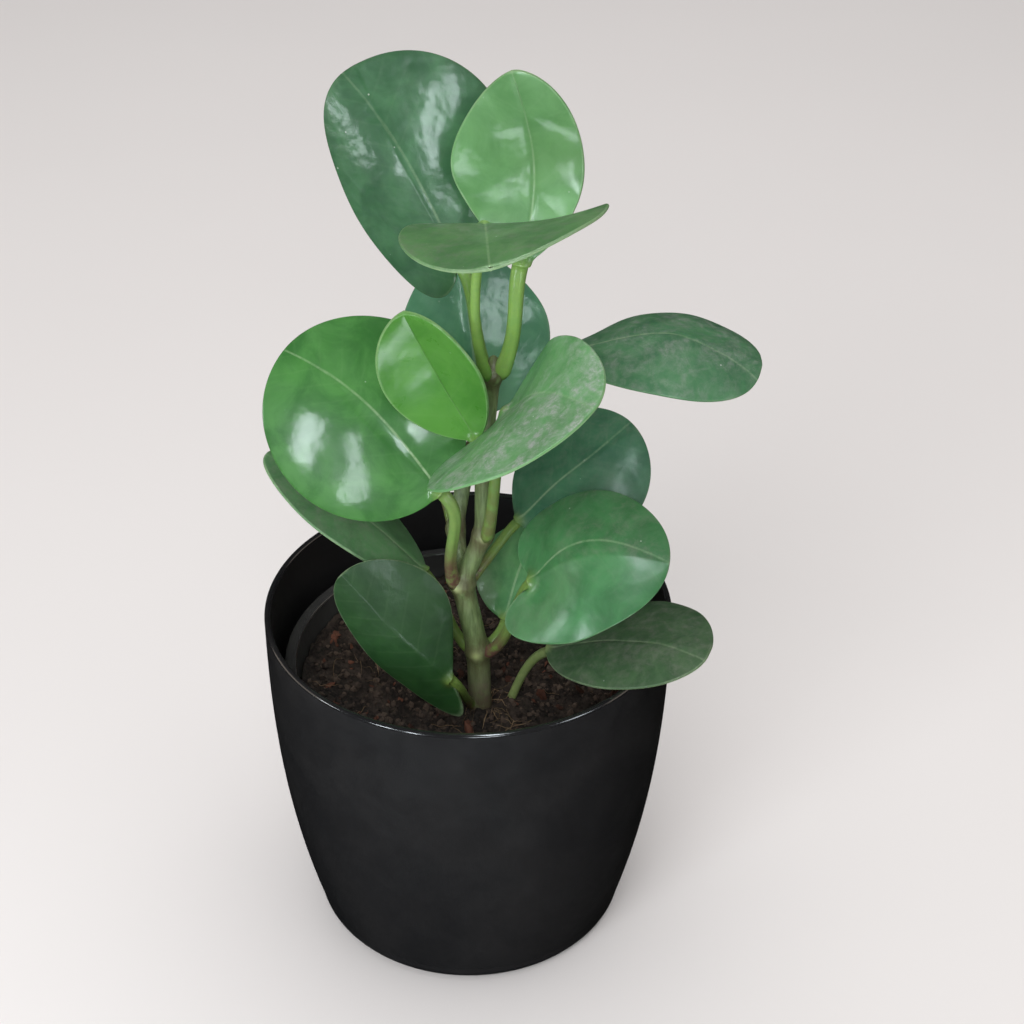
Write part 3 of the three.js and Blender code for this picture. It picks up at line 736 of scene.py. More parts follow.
def along_joints(names, radii, steps):
    """Centres and radii along straight internodes. Each internode has its own plain radius, smoothed
    where two of them meet, and the radius swells to each joint's own by a bell curve."""
    places = np.array([JOINTS[name][0] for name in names], float)
    swellings = np.array([JOINTS[name][1] for name in names], float)
    lengths = np.linalg.norm(np.diff(places, axis=0), axis=1)
    marks = np.concatenate([[0], np.cumsum(lengths)])
    travel = np.linspace(0, marks[-1], steps)
    centres = np.stack([np.interp(travel, marks, places[:, axis]) for axis in range(3)], -1)
    internode = np.clip(np.searchsorted(marks, travel, side="right") - 1, 0, len(radii) - 1)
    plain = np.array(radii)[internode]
    plain = np.convolve(np.pad(plain, 4, mode="edge"), np.ones(9) / 9, mode="valid")
    bells = np.exp(-((travel[:, None] - marks) / SWELLING_WIDTH) ** 2)
    return centres, plain + (bells * (swellings - plain[:, None])).max(1).clip(0)


def tube_rings(centres, radius, reference, turn, groove=0.0):
    """Rings round a path, with a point at each angle in turn. The first axis of a ring is the reference
    direction made square to the path, and the second is the path's direction crossed with it. groove
    dents the ring at a quarter turn, where a leaf stalk has its channel."""
    tangent = np.gradient(centres, axis=0)
    tangent /= np.linalg.norm(tangent, axis=-1, keepdims=True)
    across = reference - tangent * (tangent @ reference)[:, None]
    across /= np.linalg.norm(across, axis=-1, keepdims=True)
    over = np.cross(tangent, across)
    dent = 1 - groove * np.exp(-(((turn - np.pi / 2) / 0.45) ** 2))
    ring = (np.cos(turn) * dent)[:, None] * across[:, None] + (np.sin(turn) * dent)[:, None] * over[:, None]
    return centres[:, None] + np.asarray(radius)[:, None, None] * ring


def stem_tube(names, radii, steps):
    """One shoot: a tube through its joints, narrowed over its last four rings and closed at both ends."""
    centres, radius = along_joints(names, radii, steps)
    radius[-4:] *= [0.95, 0.85, 0.65, 0.35]
    turn = 2 * np.pi * np.arange(STEM_SIDES) / STEM_SIDES
    rings = tube_rings(centres, radius, np.array([1.0, 0.0, 0.0]), turn)
    return swept(rings, centres[0], centres[-1] + 0.2 * UP)


def melted(piece, voxel, rounds):
    """The piece after a voxel remesh and some smoothing, so that parts which cross become one skin."""
    remesh = piece.modifiers.new("melt", "REMESH")
    remesh.mode = "VOXEL"
    remesh.voxel_size = voxel
    smooth = piece.modifiers.new("smooth", "SMOOTH")
    smooth.factor = 0.5
    smooth.iterations = rounds
    skin = mesh_after_modifiers(piece)
    shade(skin, smooth=True)
    return skin


shoots = stem_tube(MAIN_STEM, MAIN_RADII, 260), stem_tube(BACK_SHOOT, BACK_RADII, 90)
stem = make_piece("stem_skin", joined(*shoots))
skin = melted(stem, voxel=0.00045, rounds=3)
print("stem:", len(skin.polygons), "faces after the remesh")

# %% [markdown]
# The skin is green, and brown and corky round the joints and near the soil. Where an old leaf fell, a
# pale round scar is left. Both are worked out here as numbers on the mesh's points: how near each is to a
# joint, and to a scar.

# %% Stem marks and finish
SCARS = [(2.2, -21.6, 115.5), (-4.0, -20.2, 141.5), (5.2, -20.8, 161.5)]
BROWN_FOOT_TOP, BROWN_FOOT_FADE = 114.0, 14.0
skin_points = np.empty(len(skin.vertices) * 3, np.float32)
skin.vertices.foreach_get("co", skin_points)
skin_points = skin_points.reshape(-1, 3) / MM


def nearness(points, places, width):
    """A bell curve of the distance to the nearest of some places."""
    apart = np.linalg.norm(points[:, None] - np.array(places, float)[None], axis=-1)
    return np.exp(-((apart / width) ** 2)).max(1)


joint_places = [place for name, (place, _) in JOINTS.items() if name not in ("root", "bud")]
mark_points(skin, {
    "joint": nearness(skin_points, joint_places, 6.5),
    "scar": nearness(skin_points, SCARS, 1.7),
    "low": np.clip((BROWN_FOOT_TOP - skin_points[:, 2]) / BROWN_FOOT_FADE, 0, 1),
})


def stem_skin():
    """Green skin with fine lengthwise streaks, brown at joints and foot, and pale at the scars."""
    material, tree, shader, place = new_finish("stem_skin")
    squeezed = node(tree, "Mapping", {"Vector": place, "Scale": (1.0, 1.0, 0.12)})
    streaks = spread(tree, noise(tree, squeezed, 900.0, 4.0, 0.6), 0.3, 0.7)
    green = mixed(tree, streaks, (0.098, 0.150, 0.055), (0.205, 0.290, 0.122))
    patchy = noise(tree, place, 260.0, 5.0, 0.65, 0.5)
    near_soil = times(tree, mark(tree, "low"), spread(tree, patchy, 0.3, 0.7, 0.35, 0.95))
    woody = mixed(tree, near_soil, green, (0.20, 0.175, 0.125))
    at_joints = times(tree, mark(tree, "joint"), spread(tree, patchy, 0.26, 0.52))
    browned = mixed(tree, times(tree, at_joints, 0.9), woody, (0.080, 0.042, 0.027))
    relief = bump(tree, noise(tree, squeezed, 1400.0, 4.0), 0.5, 0.00025)
    plug(tree, shader, {
        "Base Color": mixed(tree, times(tree, mark(tree, "scar"), 0.75), browned, (0.42, 0.50, 0.22)),
        "Roughness": spread(tree, patchy, 0.3, 0.7, 0.34, 0.52),
        "Subsurface Weight": 0.1,
        "Subsurface Radius": (0.6, 1.0, 0.3),
        "Subsurface Scale": MM,
        "Normal": bump(tree, patchy, 0.4, 0.0006, relief),
    })
    return material


stand_for(stem, "stem", stem_skin())

# %% [markdown]
# ## The leaves
#
# Each leaf is written down as a gardener would describe it: where its stalk leaves the stem and bends,
# where the midrib starts and ends, how far the blade is rolled, how wide each half is, how it folds and
# cups, and how far its lobes reach back past the stalk. The numbers are those of the solids, in
# millimetres and degrees, left half first. Each leaf has a colour of its own as well, because age, dust
# and light make every leaf on a plant a little different.

# %% Leaf list
def leaf_like(**values):
    """A leaf's values by name. One that names no bow, twist, lobe or vein is straight, flat and without
    lobes. wave and groove are the height of its unevenness and the depth of the groove at its midrib."""
    plain = {"bow": 0, "twist": 0, "lobe": (0, 0), "vein": (0, 0), "wave": 0.35, "groove": 0.3}
    return SimpleNamespace(**{**plain, **values})


LEAVES = {
    "leaf_crown_left": leaf_like(
        joint="crown", bend=(1, -15, 238), stalk=1.9, base=(-2, -12, 253), tip=(-31, 6, 306.5), roll=-60,
        arch=4, halves=(24.5, 32), fold=(-16, -8), cup=(-22, -16), lobe=(17, 0), shape=(0.45, 0.42),
        vein=(-1.5, 4), groove=0.15),
    "leaf_crown_right": leaf_like(
        joint="crown", bend=(16, -19, 234), stalk=2.4, base=(15.5, -20, 256.5), tip=(12.8, -14, 313),
        roll=-28, arch=-2, bow=-5, halves=(23.5, 14.5), fold=(4, 4), cup=(16, 16), shape=(0.8, 0.65)),
    "leaf_crown_front": leaf_like(
        joint="crown", bend=(-1.5, -31, 244), stalk=1.6, base=(5, -34, 275), tip=(6, -85, 290), roll=3,
        arch=4, halves=(33, 23), fold=(2, 0), cup=(14, 6), twist=16, shape=(0.65, 0.5)),
    "leaf_back_shoot": leaf_like(
        joint="back_top", bend=(2, 0, 187), stalk=1.8, base=(4, 2, 192), tip=(-3, 24, 241), roll=-4,
        arch=3, halves=(22.5, 27), fold=(-8, -8), cup=(-10, -10), shape=(0.55, 0.75)),
    "leaf_broad_left": leaf_like(
        joint="fork", bend=(-9, -22, 160), stalk=2.1, base=(-8, -27, 183), tip=(-50, -4, 225), roll=-56,
        arch=4, bow=2, halves=(32.5, 32.5), fold=(-6, -6), cup=(-16, -16), shape=(0.5, 0.5),
        vein=(-4.5, 7), wave=0.08),
    "leaf_young": leaf_like(
        joint="fourth", bend=(4, -22, 194), stalk=1.7, base=(3, -27, 202), tip=(-18, -30, 247), roll=-108,
        arch=-3, bow=2, halves=(16.5, 16.5), fold=(10, 10), cup=(28, 28), shape=(0.75, 0.65),
        wave=0.15, groove=0.1),
    "leaf_front": leaf_like(
        joint="third", bend=(9, -27, 180), stalk=2.0, base=(12, -26, 210), tip=(36, -62, 235), roll=33,
        arch=5, halves=(21, 38), fold=(4, 4), cup=(16, 8), lobe=(0, 16), shape=(0.38, 0.5),
        vein=(2, -2)),
    "leaf_far_right": leaf_like(
        joint="fourth", bend=(14, -12, 203), stalk=1.8, base=(30, -9, 220.5), tip=(87.5, -18, 221.5),
        roll=10, arch=9, halves=(21, 20.5), fold=(-10, -10), cup=(-20, -20), shape=(0.58, 0.4),
        vein=(1, -6)),
    "leaf_upper_right": leaf_like(
        joint="fork", bend=(7, -12, 148), stalk=1.7, base=(16, -2, 155), tip=(54, 10, 182), roll=30,
        arch=3, halves=(23, 23), fold=(-8, -8), cup=(-14, -14), shape=(0.6, 0.5),
        vein=(1, 3), groove=0.1),
    "leaf_round_right": leaf_like(
        joint="first", bend=(14, -24, 122), stalk=2.0, base=(20, -33, 154), tip=(60, -48, 171), roll=45,
        arch=9, bow=3, halves=(26, 25), fold=(-12, -6), cup=(-24, -14), lobe=(10, 22), shape=(0.36, 0.5),
        vein=(5, 0), wave=0.2, groove=0.2),
    "leaf_low_right": leaf_like(
        joint="root", bend=(15, -15, 91), stalk=1.7, base=(26, -18, 115), tip=(74.5, -44, 134.5), roll=12,
        arch=4, halves=(22, 18), fold=(-4, -4), cup=(-10, -10), shape=(0.62, 0.5),
        vein=(1, -4)),
    "leaf_low_left": leaf_like(
        joint="first", bend=(-7, -14, 120), stalk=1.8, base=(-14, -9, 140), tip=(-64, 4, 177), roll=2,
        arch=3, halves=(16, 20), fold=(-4, -4), cup=(-10, -10), shape=(0.6, 0.55)),
    "leaf_inner_left": leaf_like(
        joint="collar", bend=(-3, -22, 100), stalk=1.6, base=(-6, -33, 116), tip=(-39.5, -24, 151),
        roll=-72, arch=3, halves=(15.5, 20.5), fold=(-14, -14), cup=(-20, -20), lobe=(25, -8),
        shape=(0.5, 0.5), groove=0),
    "leaf_inner_back": leaf_like(
        joint="first", bend=(9, -13, 117), stalk=1.7, base=(12, -10, 122), tip=(24, 10, 146), roll=0,
        arch=3, halves=(17, 17), fold=(-4, -4), cup=(-10, -10), shape=(0.5, 0.55)),
    "leaf_rear": leaf_like(
        joint="back_first", bend=(-8, 2, 166), stalk=1.7, base=(-12, 8, 172), tip=(-30, 46, 196), roll=0,
        arch=4, halves=(21, 21), fold=(0, 0), cup=(-10, -10), shape=(0.65, 0.5)),
}
box_sides = [np.array(corner) / MM for corner in cad_box]
print("leaves:", len(LEAVES))

# %% [markdown]
# A leaf is one surface that starts as the round stalk, opens like a fan at the base of the blade and
# closes at the tip. Two numbers name a place on the blade: u runs along the midrib from 0 at the base to
# 1 at the tip, and v runs across, from -1 at the right margin to 1 at the left one. Each ring goes over
# the upper side and back under the lower side. Points crowd at the midrib and at the margins, because
# that is where the shape turns quickly.

# %% Leaf grid
BLADE_ROWS, STALK_ROWS, RING_POINTS = 84, 26, 96
MIDDLE_THICKNESS, MARGIN_THICKNESS = 1.8, 1.0
ROUND_MARGIN = 0.02               # share of a half's width that the rounded margin takes
ROUND_END = 0.02                  # the same at the base and at the tip, as a share of half the length
GROOVE_WIDTH = 0.8
BLADE_WAVES = 6


def unit(vectors):
    return vectors / np.linalg.norm(vectors, axis=-1, keepdims=True)


def ring_turn():
    """Even angles round the blade, pulled towards the margins (0, 180) and the midrib (90, 270)."""
    even = 2 * np.pi * np.arange(RING_POINTS) / RING_POINTS
    return even + 0.05 * np.sin(2 * even) - 0.1625 * np.sin(4 * even)


RING_TURN = ring_turn()
BLADE_V = np.cos(RING_TURN)[None]
past_flat = np.clip((np.abs(BLADE_V) - 1 + ROUND_MARGIN) / ROUND_MARGIN, 0, 1)
BLADE_SIDE = np.sign(np.sin(RING_TURN).round(9))[None] * np.sqrt(1 - past_flat**2)
BLADE_U = (0.5 - 0.5 * np.cos(np.pi * np.arange(BLADE_ROWS) / BLADE_ROWS))[:, None]
print("rings of a leaf:", STALK_ROWS + BLADE_ROWS, "with", RING_POINTS, "points each")


# %% Blade surface
def blade_axes(leaf):
    """Along the midrib, to the left, and out of the upper face, all after the blade's roll."""
    base, tip = np.array(leaf.base, float), np.array(leaf.tip, float)
    along = unit(tip - base)
    face = unit(UP - along * along[2])
    left = np.cross(face, along)
    roll = math.radians(leaf.roll)
    turned = left * math.cos(roll) + face * math.sin(roll), face * math.cos(roll) - left * math.sin(roll)
    return np.stack([along, *turned]), np.linalg.norm(tip - base)


def width_share(leaf, u):
    """A product of two powers of u and 1 - u, scaled to reach 1 where the blade is widest."""
    widen, narrow = leaf.shape
    widest = widen / (widen + narrow)
    return (u / widest) ** widen * ((1 - u) / (1 - widest)) ** narrow


def per_half(pair, v):
    """The left number where v is positive, and the right one elsewhere."""
    return np.where(v < 0, pair[1], pair[0])


def blade_sheet(leaf, length, u, v):
    """The middle sheet of the blade in its own axes. The spine is a half sine wave in height (arch) and
    sideways (bow). Across it, each half leaves the midrib at the angle fold and is an arc that turns by
    cup at full width. Lobes slide back along the straight line from base to tip. Also gives the sheet's
    normal, its left and face directions at the midrib, and how far across each point is."""
    wave = np.pi * u
    spine = np.stack([length * u, leaf.bow * np.sin(wave), leaf.arch * np.sin(wave)], -1)
    ahead = [length + 0 * u, leaf.bow * np.pi * np.cos(wave), leaf.arch * np.pi * np.cos(wave)]
    tangent = unit(np.stack(ahead, -1))
    flat_left = unit(np.stack([-tangent[..., 1], tangent[..., 0], 0 * tangent[..., 0]], -1))
    flat_face = np.cross(tangent, flat_left)
    twist = (math.radians(leaf.twist) * (u - 0.5))[..., None]
    left = flat_left * np.cos(twist) + flat_face * np.sin(twist)
    face = flat_face * np.cos(twist) - flat_left * np.sin(twist)

    share = np.abs(v) * width_share(leaf, u)
    reach = share * per_half(leaf.halves, v)
    back = per_half(leaf.lobe, v) * (1 - (1 - share) ** 2) * np.abs(v) * (1 - u) ** 2
    fold = np.radians(per_half(leaf.fold, v))
    turn = np.radians(per_half(leaf.cup, v)) * share + 1e-9     # never zero, because it divides
    across = np.sign(v) * reach / turn * (np.sin(fold + turn) - np.sin(fold))
    rise = reach / turn * (np.cos(fold) - np.cos(fold + turn))
    slope = (np.sign(v) * (fold + turn))[..., None]
    sheet = spine - back[..., None] * [1, 0, 0] + across[..., None] * left + rise[..., None] * face
    normal = face * np.cos(slope) - left * np.sin(slope)
    return sheet, normal, left, face, across


def leaf_waves(random, sheet):
    """Gentle unevenness of the blade: waves 16 to 45 mm long in random directions, added up and divided
    by the square root of how many they are."""
    turn, phase = random.uniform(0, 2 * np.pi, (2, BLADE_WAVES))
    number = 2 * np.pi / random.uniform(16, 45, BLADE_WAVES)
    path = np.multiply.outer(sheet[..., 0], np.cos(turn)) + np.multiply.outer(sheet[..., 1], np.sin(turn))
    return np.sin(path * number + phase).sum(-1) / math.sqrt(BLADE_WAVES)


def blade_rings(leaf, random):
    """Rings from the base to just before the tip, in the plant's own axes, with the marks that the finish
    reads. The sheet is thickened to both sides, thinner at the margins and closed round them. On top the
    midrib is a shallow groove and below it is a ridge, which fades to the tip. It leaves the blade's
    middle line by vein: a half sine bow, and a drift that grows with the fourth power of u. Near the base
    the ring opens out of the round stalk: a circle of the stalk's radius is added, with a weight that
    falls off by a bell curve of the distance from the base."""
    axes, length = blade_axes(leaf)
    u, v = np.broadcast_arrays(BLADE_U, BLADE_V)
    sheet, normal, left, face, across = blade_sheet(leaf, length, u, v)
    stalk_share = np.exp(-((np.linalg.norm(sheet, axis=-1) / (1.2 * leaf.stalk)) ** 2))
    grown = 1 - stalk_share
    near_end = np.clip((np.abs(2 * u - 1) - (1 - ROUND_END)) / ROUND_END, 0, 1)
    thickness = MIDDLE_THICKNESS + (MARGIN_THICKNESS - MIDDLE_THICKNESS) * v**2
    off_rib = across - leaf.vein[0] * np.sin(np.pi * u) - leaf.vein[1] * u**4
    groove = leaf.groove * np.exp(-((off_rib / GROOVE_WIDTH) ** 2)) * (1 - u) ** 0.4 * grown
    ridge_radius = 0.85 * leaf.stalk * (1 - u) ** 1.3 + 0.15
    ridge = ridge_radius * np.exp(-((off_rib / (0.9 * ridge_radius)) ** 2)) * grown
    lift = np.sqrt(1 - near_end**2) * BLADE_SIDE * thickness / 2
    lift = lift + leaf.wave * leaf_waves(random, sheet) * grown
    lift = lift - np.where(BLADE_SIDE > 0, groove, ridge)
    sideways, upright = np.cos(RING_TURN)[None, :, None], np.sin(RING_TURN)[None, :, None]
    circle = leaf.stalk * (sideways * left + upright * face)
    local = sheet + lift[..., None] * normal + stalk_share[..., None] * circle
    width = width_share(leaf, u) * per_half(leaf.halves, v)
    marks = {
        "edge": np.minimum((1 - np.abs(v)) * width, (1 - u) * length),
        "mid": off_rib,
        "run": sheet[..., 0],
        "side": np.broadcast_to(BLADE_SIDE, u.shape),
        "stalk": stalk_share,
        "climb": np.ones(u.shape),
    }
    return np.array(leaf.base) + local @ axes, marks


# %% [markdown]
# The stalk leaves its joint sideways, bends up, and runs into the midrib. A cubic Bezier curve does that
# with four points. Its rings use the blade's left direction, so they meet the first ring of the blade
# without a twist. A shallow channel runs along the upper side, and the foot is a little swollen where it
# grows out of the stem.

# %% Stalk
STALK_ROOT, STALK_APPROACH, CHANNEL = 0.6, 0.3, 0.13
STALK_SWELLING, STALK_WAIST = 0.16, 0.10
OFF_MARGIN = 9.0                  # mm, too far from the margin for its pale line to show
TIP_RUN = 60.0                    # mm along the midrib, for the last point at the tip
FIRST_SEED = 100


def stalk_rings(leaf):
    """Rings from inside the joint up to the base of the blade, along a cubic Bezier curve. The radius has
    a bell curve added at the foot and a half sine wave taken off in the middle."""
    axes, length = blade_axes(leaf)
    joint, swelling = JOINTS[leaf.joint]
    joint, bend, base = np.array(joint, float), np.array(leaf.bend, float), np.array(leaf.base, float)
    start = joint + unit((bend - joint) * [1, 1, 0]) * STALK_ROOT * swelling
    u, v = np.array([[0.0], [1e-3]]), np.array([[1e-6]])
    sheet, _, left, _, _ = blade_sheet(leaf, length, *np.broadcast_arrays(u, v))
    heading = unit((sheet[1, 0] - sheet[0, 0]) @ axes)
    approach = base - heading * STALK_APPROACH * np.linalg.norm(base - start)
    t = np.linspace(0, 1, STALK_ROWS + 1)[:, None]
    path = (1 - t) ** 3 * start + 3 * (1 - t) ** 2 * t * bend + 3 * (1 - t) * t**2 * approach + t**3 * base
    foot, middle = np.exp(-((t[:, 0] / 0.12) ** 2)), np.sin(np.pi * t[:, 0])
    radius = leaf.stalk * (1 + STALK_SWELLING * foot - STALK_WAIST * middle)
    radius[0] *= 0.8
    rings = tube_rings(path, radius, left[0, 0] @ axes, RING_TURN, CHANNEL)
    return rings[:-1], start, np.repeat(t[:-1], RING_POINTS, 1)


def leaf_piece(name, leaf, seed):
    """One leaf, stalk and blade, as a single closed surface with its marks."""
    random = np.random.default_rng(seed)
    stalk, start, climb = stalk_rings(leaf)
    blade, on_blade = blade_rings(leaf, random)
    on_stalk = {
        "edge": OFF_MARGIN + 0 * climb,
        "mid": 0 * climb,
        "run": 0 * climb,
        "side": np.broadcast_to(np.sin(RING_TURN), climb.shape),
        "stalk": 1.0 + 0 * climb,
        "climb": climb,
    }
    at_poles = {
        "edge": (OFF_MARGIN, 0),
        "mid": (0, 0),
        "run": (0, TIP_RUN),
        "side": (0, 0),
        "stalk": (1, 0),
        "climb": (0, 1),
    }
    marks = {
        key: np.concatenate([on_stalk[key].ravel(), on_blade[key].ravel(), at_poles[key]])
        for key in on_blade
    }
    rings = np.clip(np.concatenate([stalk, blade]), *box_sides)
    tip = np.clip(np.array(leaf.tip, float), *box_sides)
    return make_piece(name, swept(rings, start, tip), marks)


leaf_pieces = {}
for seed, (name, leaf) in enumerate(LEAVES.items(), FIRST_SEED):
    piece = leaf_piece(name + "_blade", leaf, seed)
    corners = np.array([np.min(piece.bound_box, 0), np.max(piece.bound_box, 0)])
    away = np.abs(corners - np.array(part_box(name))).max() / MM
    print(f"{name}: {len(piece.data.polygons)} faces, box within {away:.1f} mm of the solid's")
    leaf_pieces[name] = piece

# %% [markdown]
# A peperomia leaf is waxy: a clear skin over juicy green flesh. So its finish has a base colour that
# wanders between a deep and a lighter green, light that scatters a little way inside, and a glossy coat
# on top. Old leaves are dark and dusty, and fresh ones are yellow-green and clean. The midrib and the
# margin show as thin pale lines, the side veins hardly at all, the underside is paler, and the stalk
# turns pinkish brown where it leaves the stem.

# %% Leaf looks
LEAF_LOOKS = {
    "leaf_crown_left": dict(
        deep=(0.025, 0.088, 0.038), light=(0.050, 0.150, 0.064), dust_and_sheen=0.25, rough=0.34, gloss=0.5,
        rib=0.35, sparse=0.7, stalk_green=(0.20, 0.37, 0.08), brown=0.2),
    "leaf_crown_right": dict(
        deep=(0.083, 0.232, 0.073), light=(0.130, 0.312, 0.112), dust_and_sheen=0.1, rough=0.38, gloss=0.43,
        rim=0.7, rib=0.5, brown=0.1, wavy=0.6, coat=0.12, stalk_green=(0.24, 0.42, 0.09)),
    "leaf_crown_front": dict(
        deep=(0.054, 0.158, 0.052), light=(0.089, 0.223, 0.075), dust_and_sheen=0.4, rough=0.45, gloss=0.12,
        rim=0.6, rib=0.5, brown=0.1, sparse=0.5, stalk_green=(0.24, 0.42, 0.09)),
    "leaf_back_shoot": dict(
        deep=(0.058, 0.205, 0.110), light=(0.112, 0.315, 0.170), dust_and_sheen=0.2, rough=0.36, gloss=0.8),
    "leaf_broad_left": dict(
        deep=(0.028, 0.127, 0.024), light=(0.064, 0.215, 0.048), dust_and_sheen=0.06, rough=0.34, gloss=0.62,
        rim=0.15, rib=0.8, brown=1.0, sparse=0.4, wavy=0.3, coat=0.11, stalk_green=(0.19, 0.30, 0.08)),
    "leaf_young": dict(
        deep=(0.057, 0.215, 0.028), light=(0.094, 0.285, 0.047), dust_and_sheen=0.0, rough=0.32, gloss=0.56,
        rim=0.6, rib=0.2, brown=0.1, wavy=0.4, coat=0.15),
    "leaf_front": dict(
        deep=(0.070, 0.255, 0.068), light=(0.118, 0.335, 0.115), dust_and_sheen=1.2, rough=0.42, gloss=0.19,
        brown=0.5, sparse=0.8, dust_and_sheen_colour=(0.38, 0.41, 0.38)),
    "leaf_far_right": dict(
        deep=(0.028, 0.120, 0.048), light=(0.058, 0.190, 0.078), dust_and_sheen=0.5, rough=0.42, gloss=0.22,
        sparse=0.7, dust_and_sheen_colour=(0.29, 0.29, 0.28)),
    "leaf_upper_right": dict(
        deep=(0.023, 0.103, 0.052), light=(0.048, 0.160, 0.080), dust_and_sheen=0.25, rough=0.40, gloss=0.15),
    "leaf_round_right": dict(
        deep=(0.027, 0.130, 0.040), light=(0.054, 0.205, 0.070), dust_and_sheen=0.4, rough=0.36, gloss=0.6,
        sparse=0.7, brown=1.0, wavy=0.6, coat=0.24),
    "leaf_low_right": dict(
        deep=(0.024, 0.066, 0.026), light=(0.050, 0.112, 0.046), dust_and_sheen=0.35, rough=0.44, gloss=0.12,
        rim=0.7, stalk_green=(0.21, 0.28, 0.10)),
    "leaf_low_left": dict(
        deep=(0.047, 0.147, 0.052), light=(0.090, 0.235, 0.090), dust_and_sheen=0.45, rough=0.44, gloss=0.12,
        rim=0.6, brown=0.1),
    "leaf_inner_left": dict(
        deep=(0.013, 0.049, 0.013), light=(0.022, 0.073, 0.020), dust_and_sheen=0.08, rough=0.42, gloss=0.10,
        rim=0.8, rib=0.01),
    "leaf_inner_back": dict(
        deep=(0.056, 0.185, 0.070), light=(0.120, 0.320, 0.120), dust_and_sheen=0.2, rough=0.42),
    "leaf_rear": dict(deep=(0.020, 0.080, 0.024), light=(0.040, 0.125, 0.040), dust_and_sheen=0.3, rough=0.36),
}
STALK_BROWN = (0.115, 0.055, 0.045)
PALE_LINE = (0.40, 0.52, 0.32)


def toned(colour, share, towards):
    """A colour moved a share of the way towards another."""
    return [c + share * (t - c) for c, t in zip(colour, towards)]


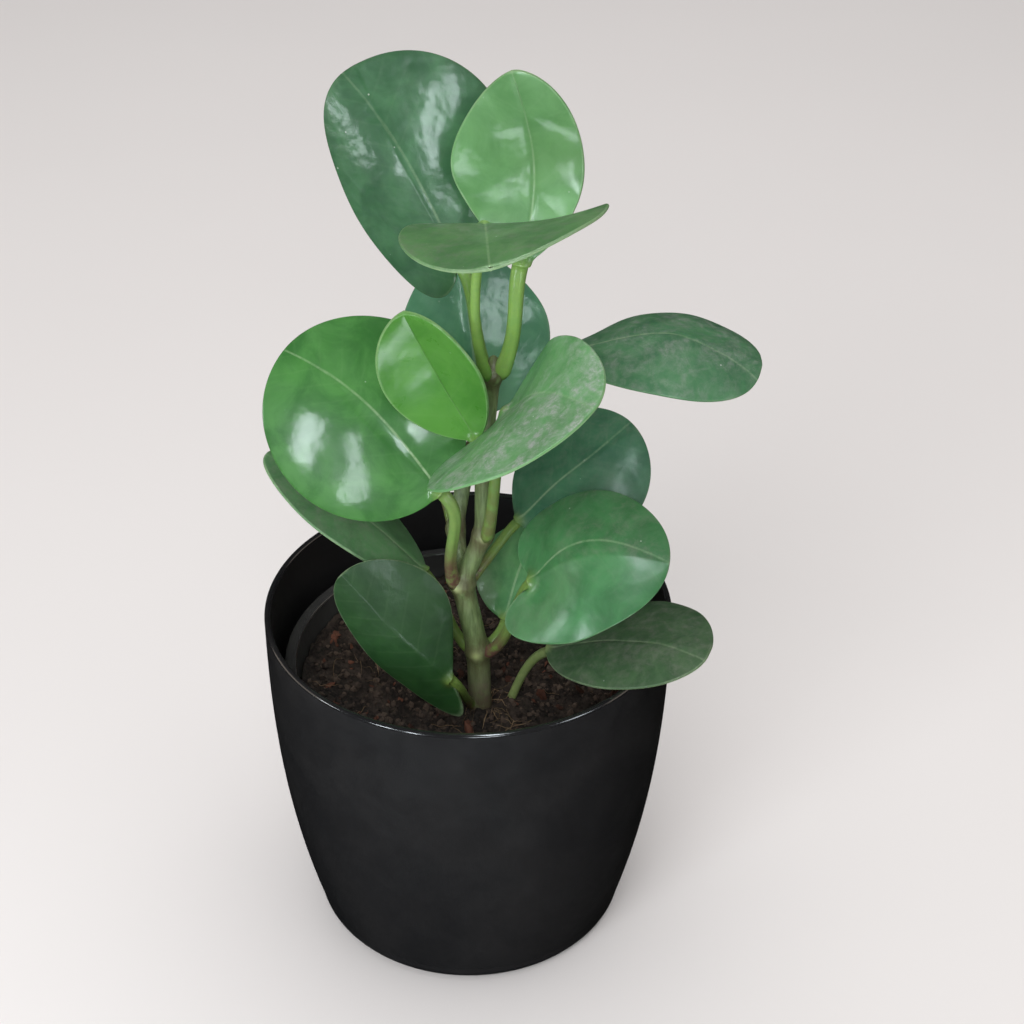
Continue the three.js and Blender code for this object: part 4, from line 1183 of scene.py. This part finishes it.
# %% Leaf finish
def leaf_skin(name, deep, light, dust_and_sheen, rough, gloss=0.5, rim=0.35, rib=0.5, brown=0.8, sparse=0.3,
              wavy=1.0, coat=0.16, stalk_green=(0.15, 0.24, 0.05), dust_and_sheen_colour=(0.21, 0.20, 0.18)):
    """Waxy leaf skin. Marks on the mesh, in millimetres, say how far a point is from the margin (edge),
    across from the midrib (mid) and along it (run). Others say on which side it is (side), how much it
    belongs to the stalk (stalk), and which share of the stalk is below it (climb). deep and light are the
    two greens of the flesh, stalk_green is the colour of the stalk, and dust_and_sheen_colour that of a
    greyish film. Dust makes that film, and where it thickens on faces that look up it is also a painted
    sheen.
    dust, rim, rib, brown, sparse and wavy say how strongly the film, the margin, the midrib, the stalk's
    brown foot, the pale specks and the skin's unevenness show. rough is the roughness of the flesh, and
    gloss and coat are the weight and the roughness of the clear skin."""
    material, tree, shader, place = new_finish(name)
    mid, run = mark(tree, "mid"), mark(tree, "run")
    above = spread(tree, mark(tree, "side"), -0.05, 0.05)
    off_mid = node(tree, "Math", {0: mid}, operation="ABSOLUTE")
    fine = noise(tree, place, 900.0, 5.0, 0.7)
    grainy = noise(tree, place, 420.0, 6.0, 0.75)

    flesh = mixed(tree, spread(tree, noise(tree, place, 75.0, 6.0, 0.62, 0.6), 0.3, 0.7), deep, light)
    wander = noise(tree, place, 90.0, 2.0)
    along = node(tree, "Math", {0: run, 1: times(tree, off_mid, 0.75)}, operation="SUBTRACT")
    vein_path = plus(tree, times(tree, along, 0.85), times(tree, wander, 2.0))
    vein_wave = node(tree, "Math", {0: vein_path}, operation="SINE")
    veins = times(tree, spread(tree, vein_wave, 0.88, 1.0), spread(tree, off_mid, 20.0, 3.0))
    veined = mixed(tree, times(tree, veins, 0.05), flesh, toned(light, 0.35, PALE_LINE))

    # The greyish film is thicker on faces that look up. Part of this is dust settling there. Part is a
    # painted sheen: the grey shine that upward faces catch is painted in as film colour.
    upward = node(tree, "SeparateXYZ", {"Vector": node(tree, "NewGeometry", {}, out="Normal")}, out="Z")
    upward_dust_and_sheen = spread(tree, upward, 0.35, 0.95, 0.15, 1.0)
    film = spread(tree, noise(tree, place, 110.0, 8.0, 0.72, 1.0), 0.40, 0.66, 0.25, 1.0)
    broken = spread(tree, grainy, 0.38, 0.62, 0.35, 1.0)
    dusty = times(tree, times(tree, times(tree, film, broken), upward_dust_and_sheen), dust_and_sheen)
    pale = times(tree, specks(tree, place, 230.0, (0.03, 0.08), 0.2, 0.02), sparse)
    filmed = mixed(tree, pale, mixed(tree, dusty, veined, dust_and_sheen_colour), (0.50, 0.54, 0.50))
    pale_green = (0.30, 0.42, 0.22)
    lower = [toned(light, share, pale_green) for share in (0.25, 0.4)]
    both = mixed(tree, above, mixed(tree, spread(tree, fine, 0.3, 0.7), *lower), filmed)

    uneven = spread(tree, grainy, 0.35, 0.6, 0.45, 1.0)
    line = times(tree, spread(tree, off_mid, 0.55, 0.1), spread(tree, run, 50.0, 2.0, 0.45 * rib, rib))
    ribbed = mixed(tree, times(tree, line, uneven), both, toned(PALE_LINE, 0.25, light))
    worn_rim = spread(tree, noise(tree, place, 45.0, 2.0), 0.35, 0.6, 0.2 * rim, rim)
    near_margin = spread(tree, mark(tree, "edge"), 0.7, 0.05, 0.0, 0.8)
    margin = times(tree, near_margin, times(tree, worn_rim, uneven))
    rimmed = mixed(tree, margin, ribbed, toned(PALE_LINE, 0.3, light))
    blotches = spread(tree, noise(tree, place, 260.0, 5.0, 0.65), 0.30, 0.60)
    foot = times(tree, spread(tree, mark(tree, "climb"), 0.12, 0.5, brown, 0.0), blotches)
    streaky = mixed(tree, spread(tree, grainy, 0.35, 0.65), toned(stalk_green, 0.25, light), stalk_green)
    stalky = mixed(tree, foot, streaky, STALK_BROWN)

    pores = bump(tree, fine, 0.12, 0.0001)
    dimples = bump(tree, noise(tree, place, 330.0, 4.0, 0.6), 0.20 * wavy, 0.0003, pores)
    swell = bump(tree, noise(tree, place, 110.0, 2.0, 0.5), 0.45 * wavy, 0.0012, dimples)
    worn = noise(tree, place, 140.0, 5.0, 0.6, 0.5)
    plug(tree, shader, {
        "Base Color": mixed(tree, mark(tree, "stalk"), rimmed, stalky),
        "Roughness": spread(tree, worn, 0.3, 0.7, rough - 0.06, rough + 0.10),
        "Specular IOR Level": 0.3,
        "Subsurface Weight": 0.08,
        "Subsurface Radius": (0.5, 1.0, 0.2),
        "Subsurface Scale": MM,
        "Coat Weight": gloss,
        "Coat Roughness": coat,
        "Normal": swell,
        "Coat Normal": swell,
    })
    return material


for name, piece in leaf_pieces.items():
    stand_for(piece, name, leaf_skin(name + "_skin", **LEAF_LOOKS[name]))
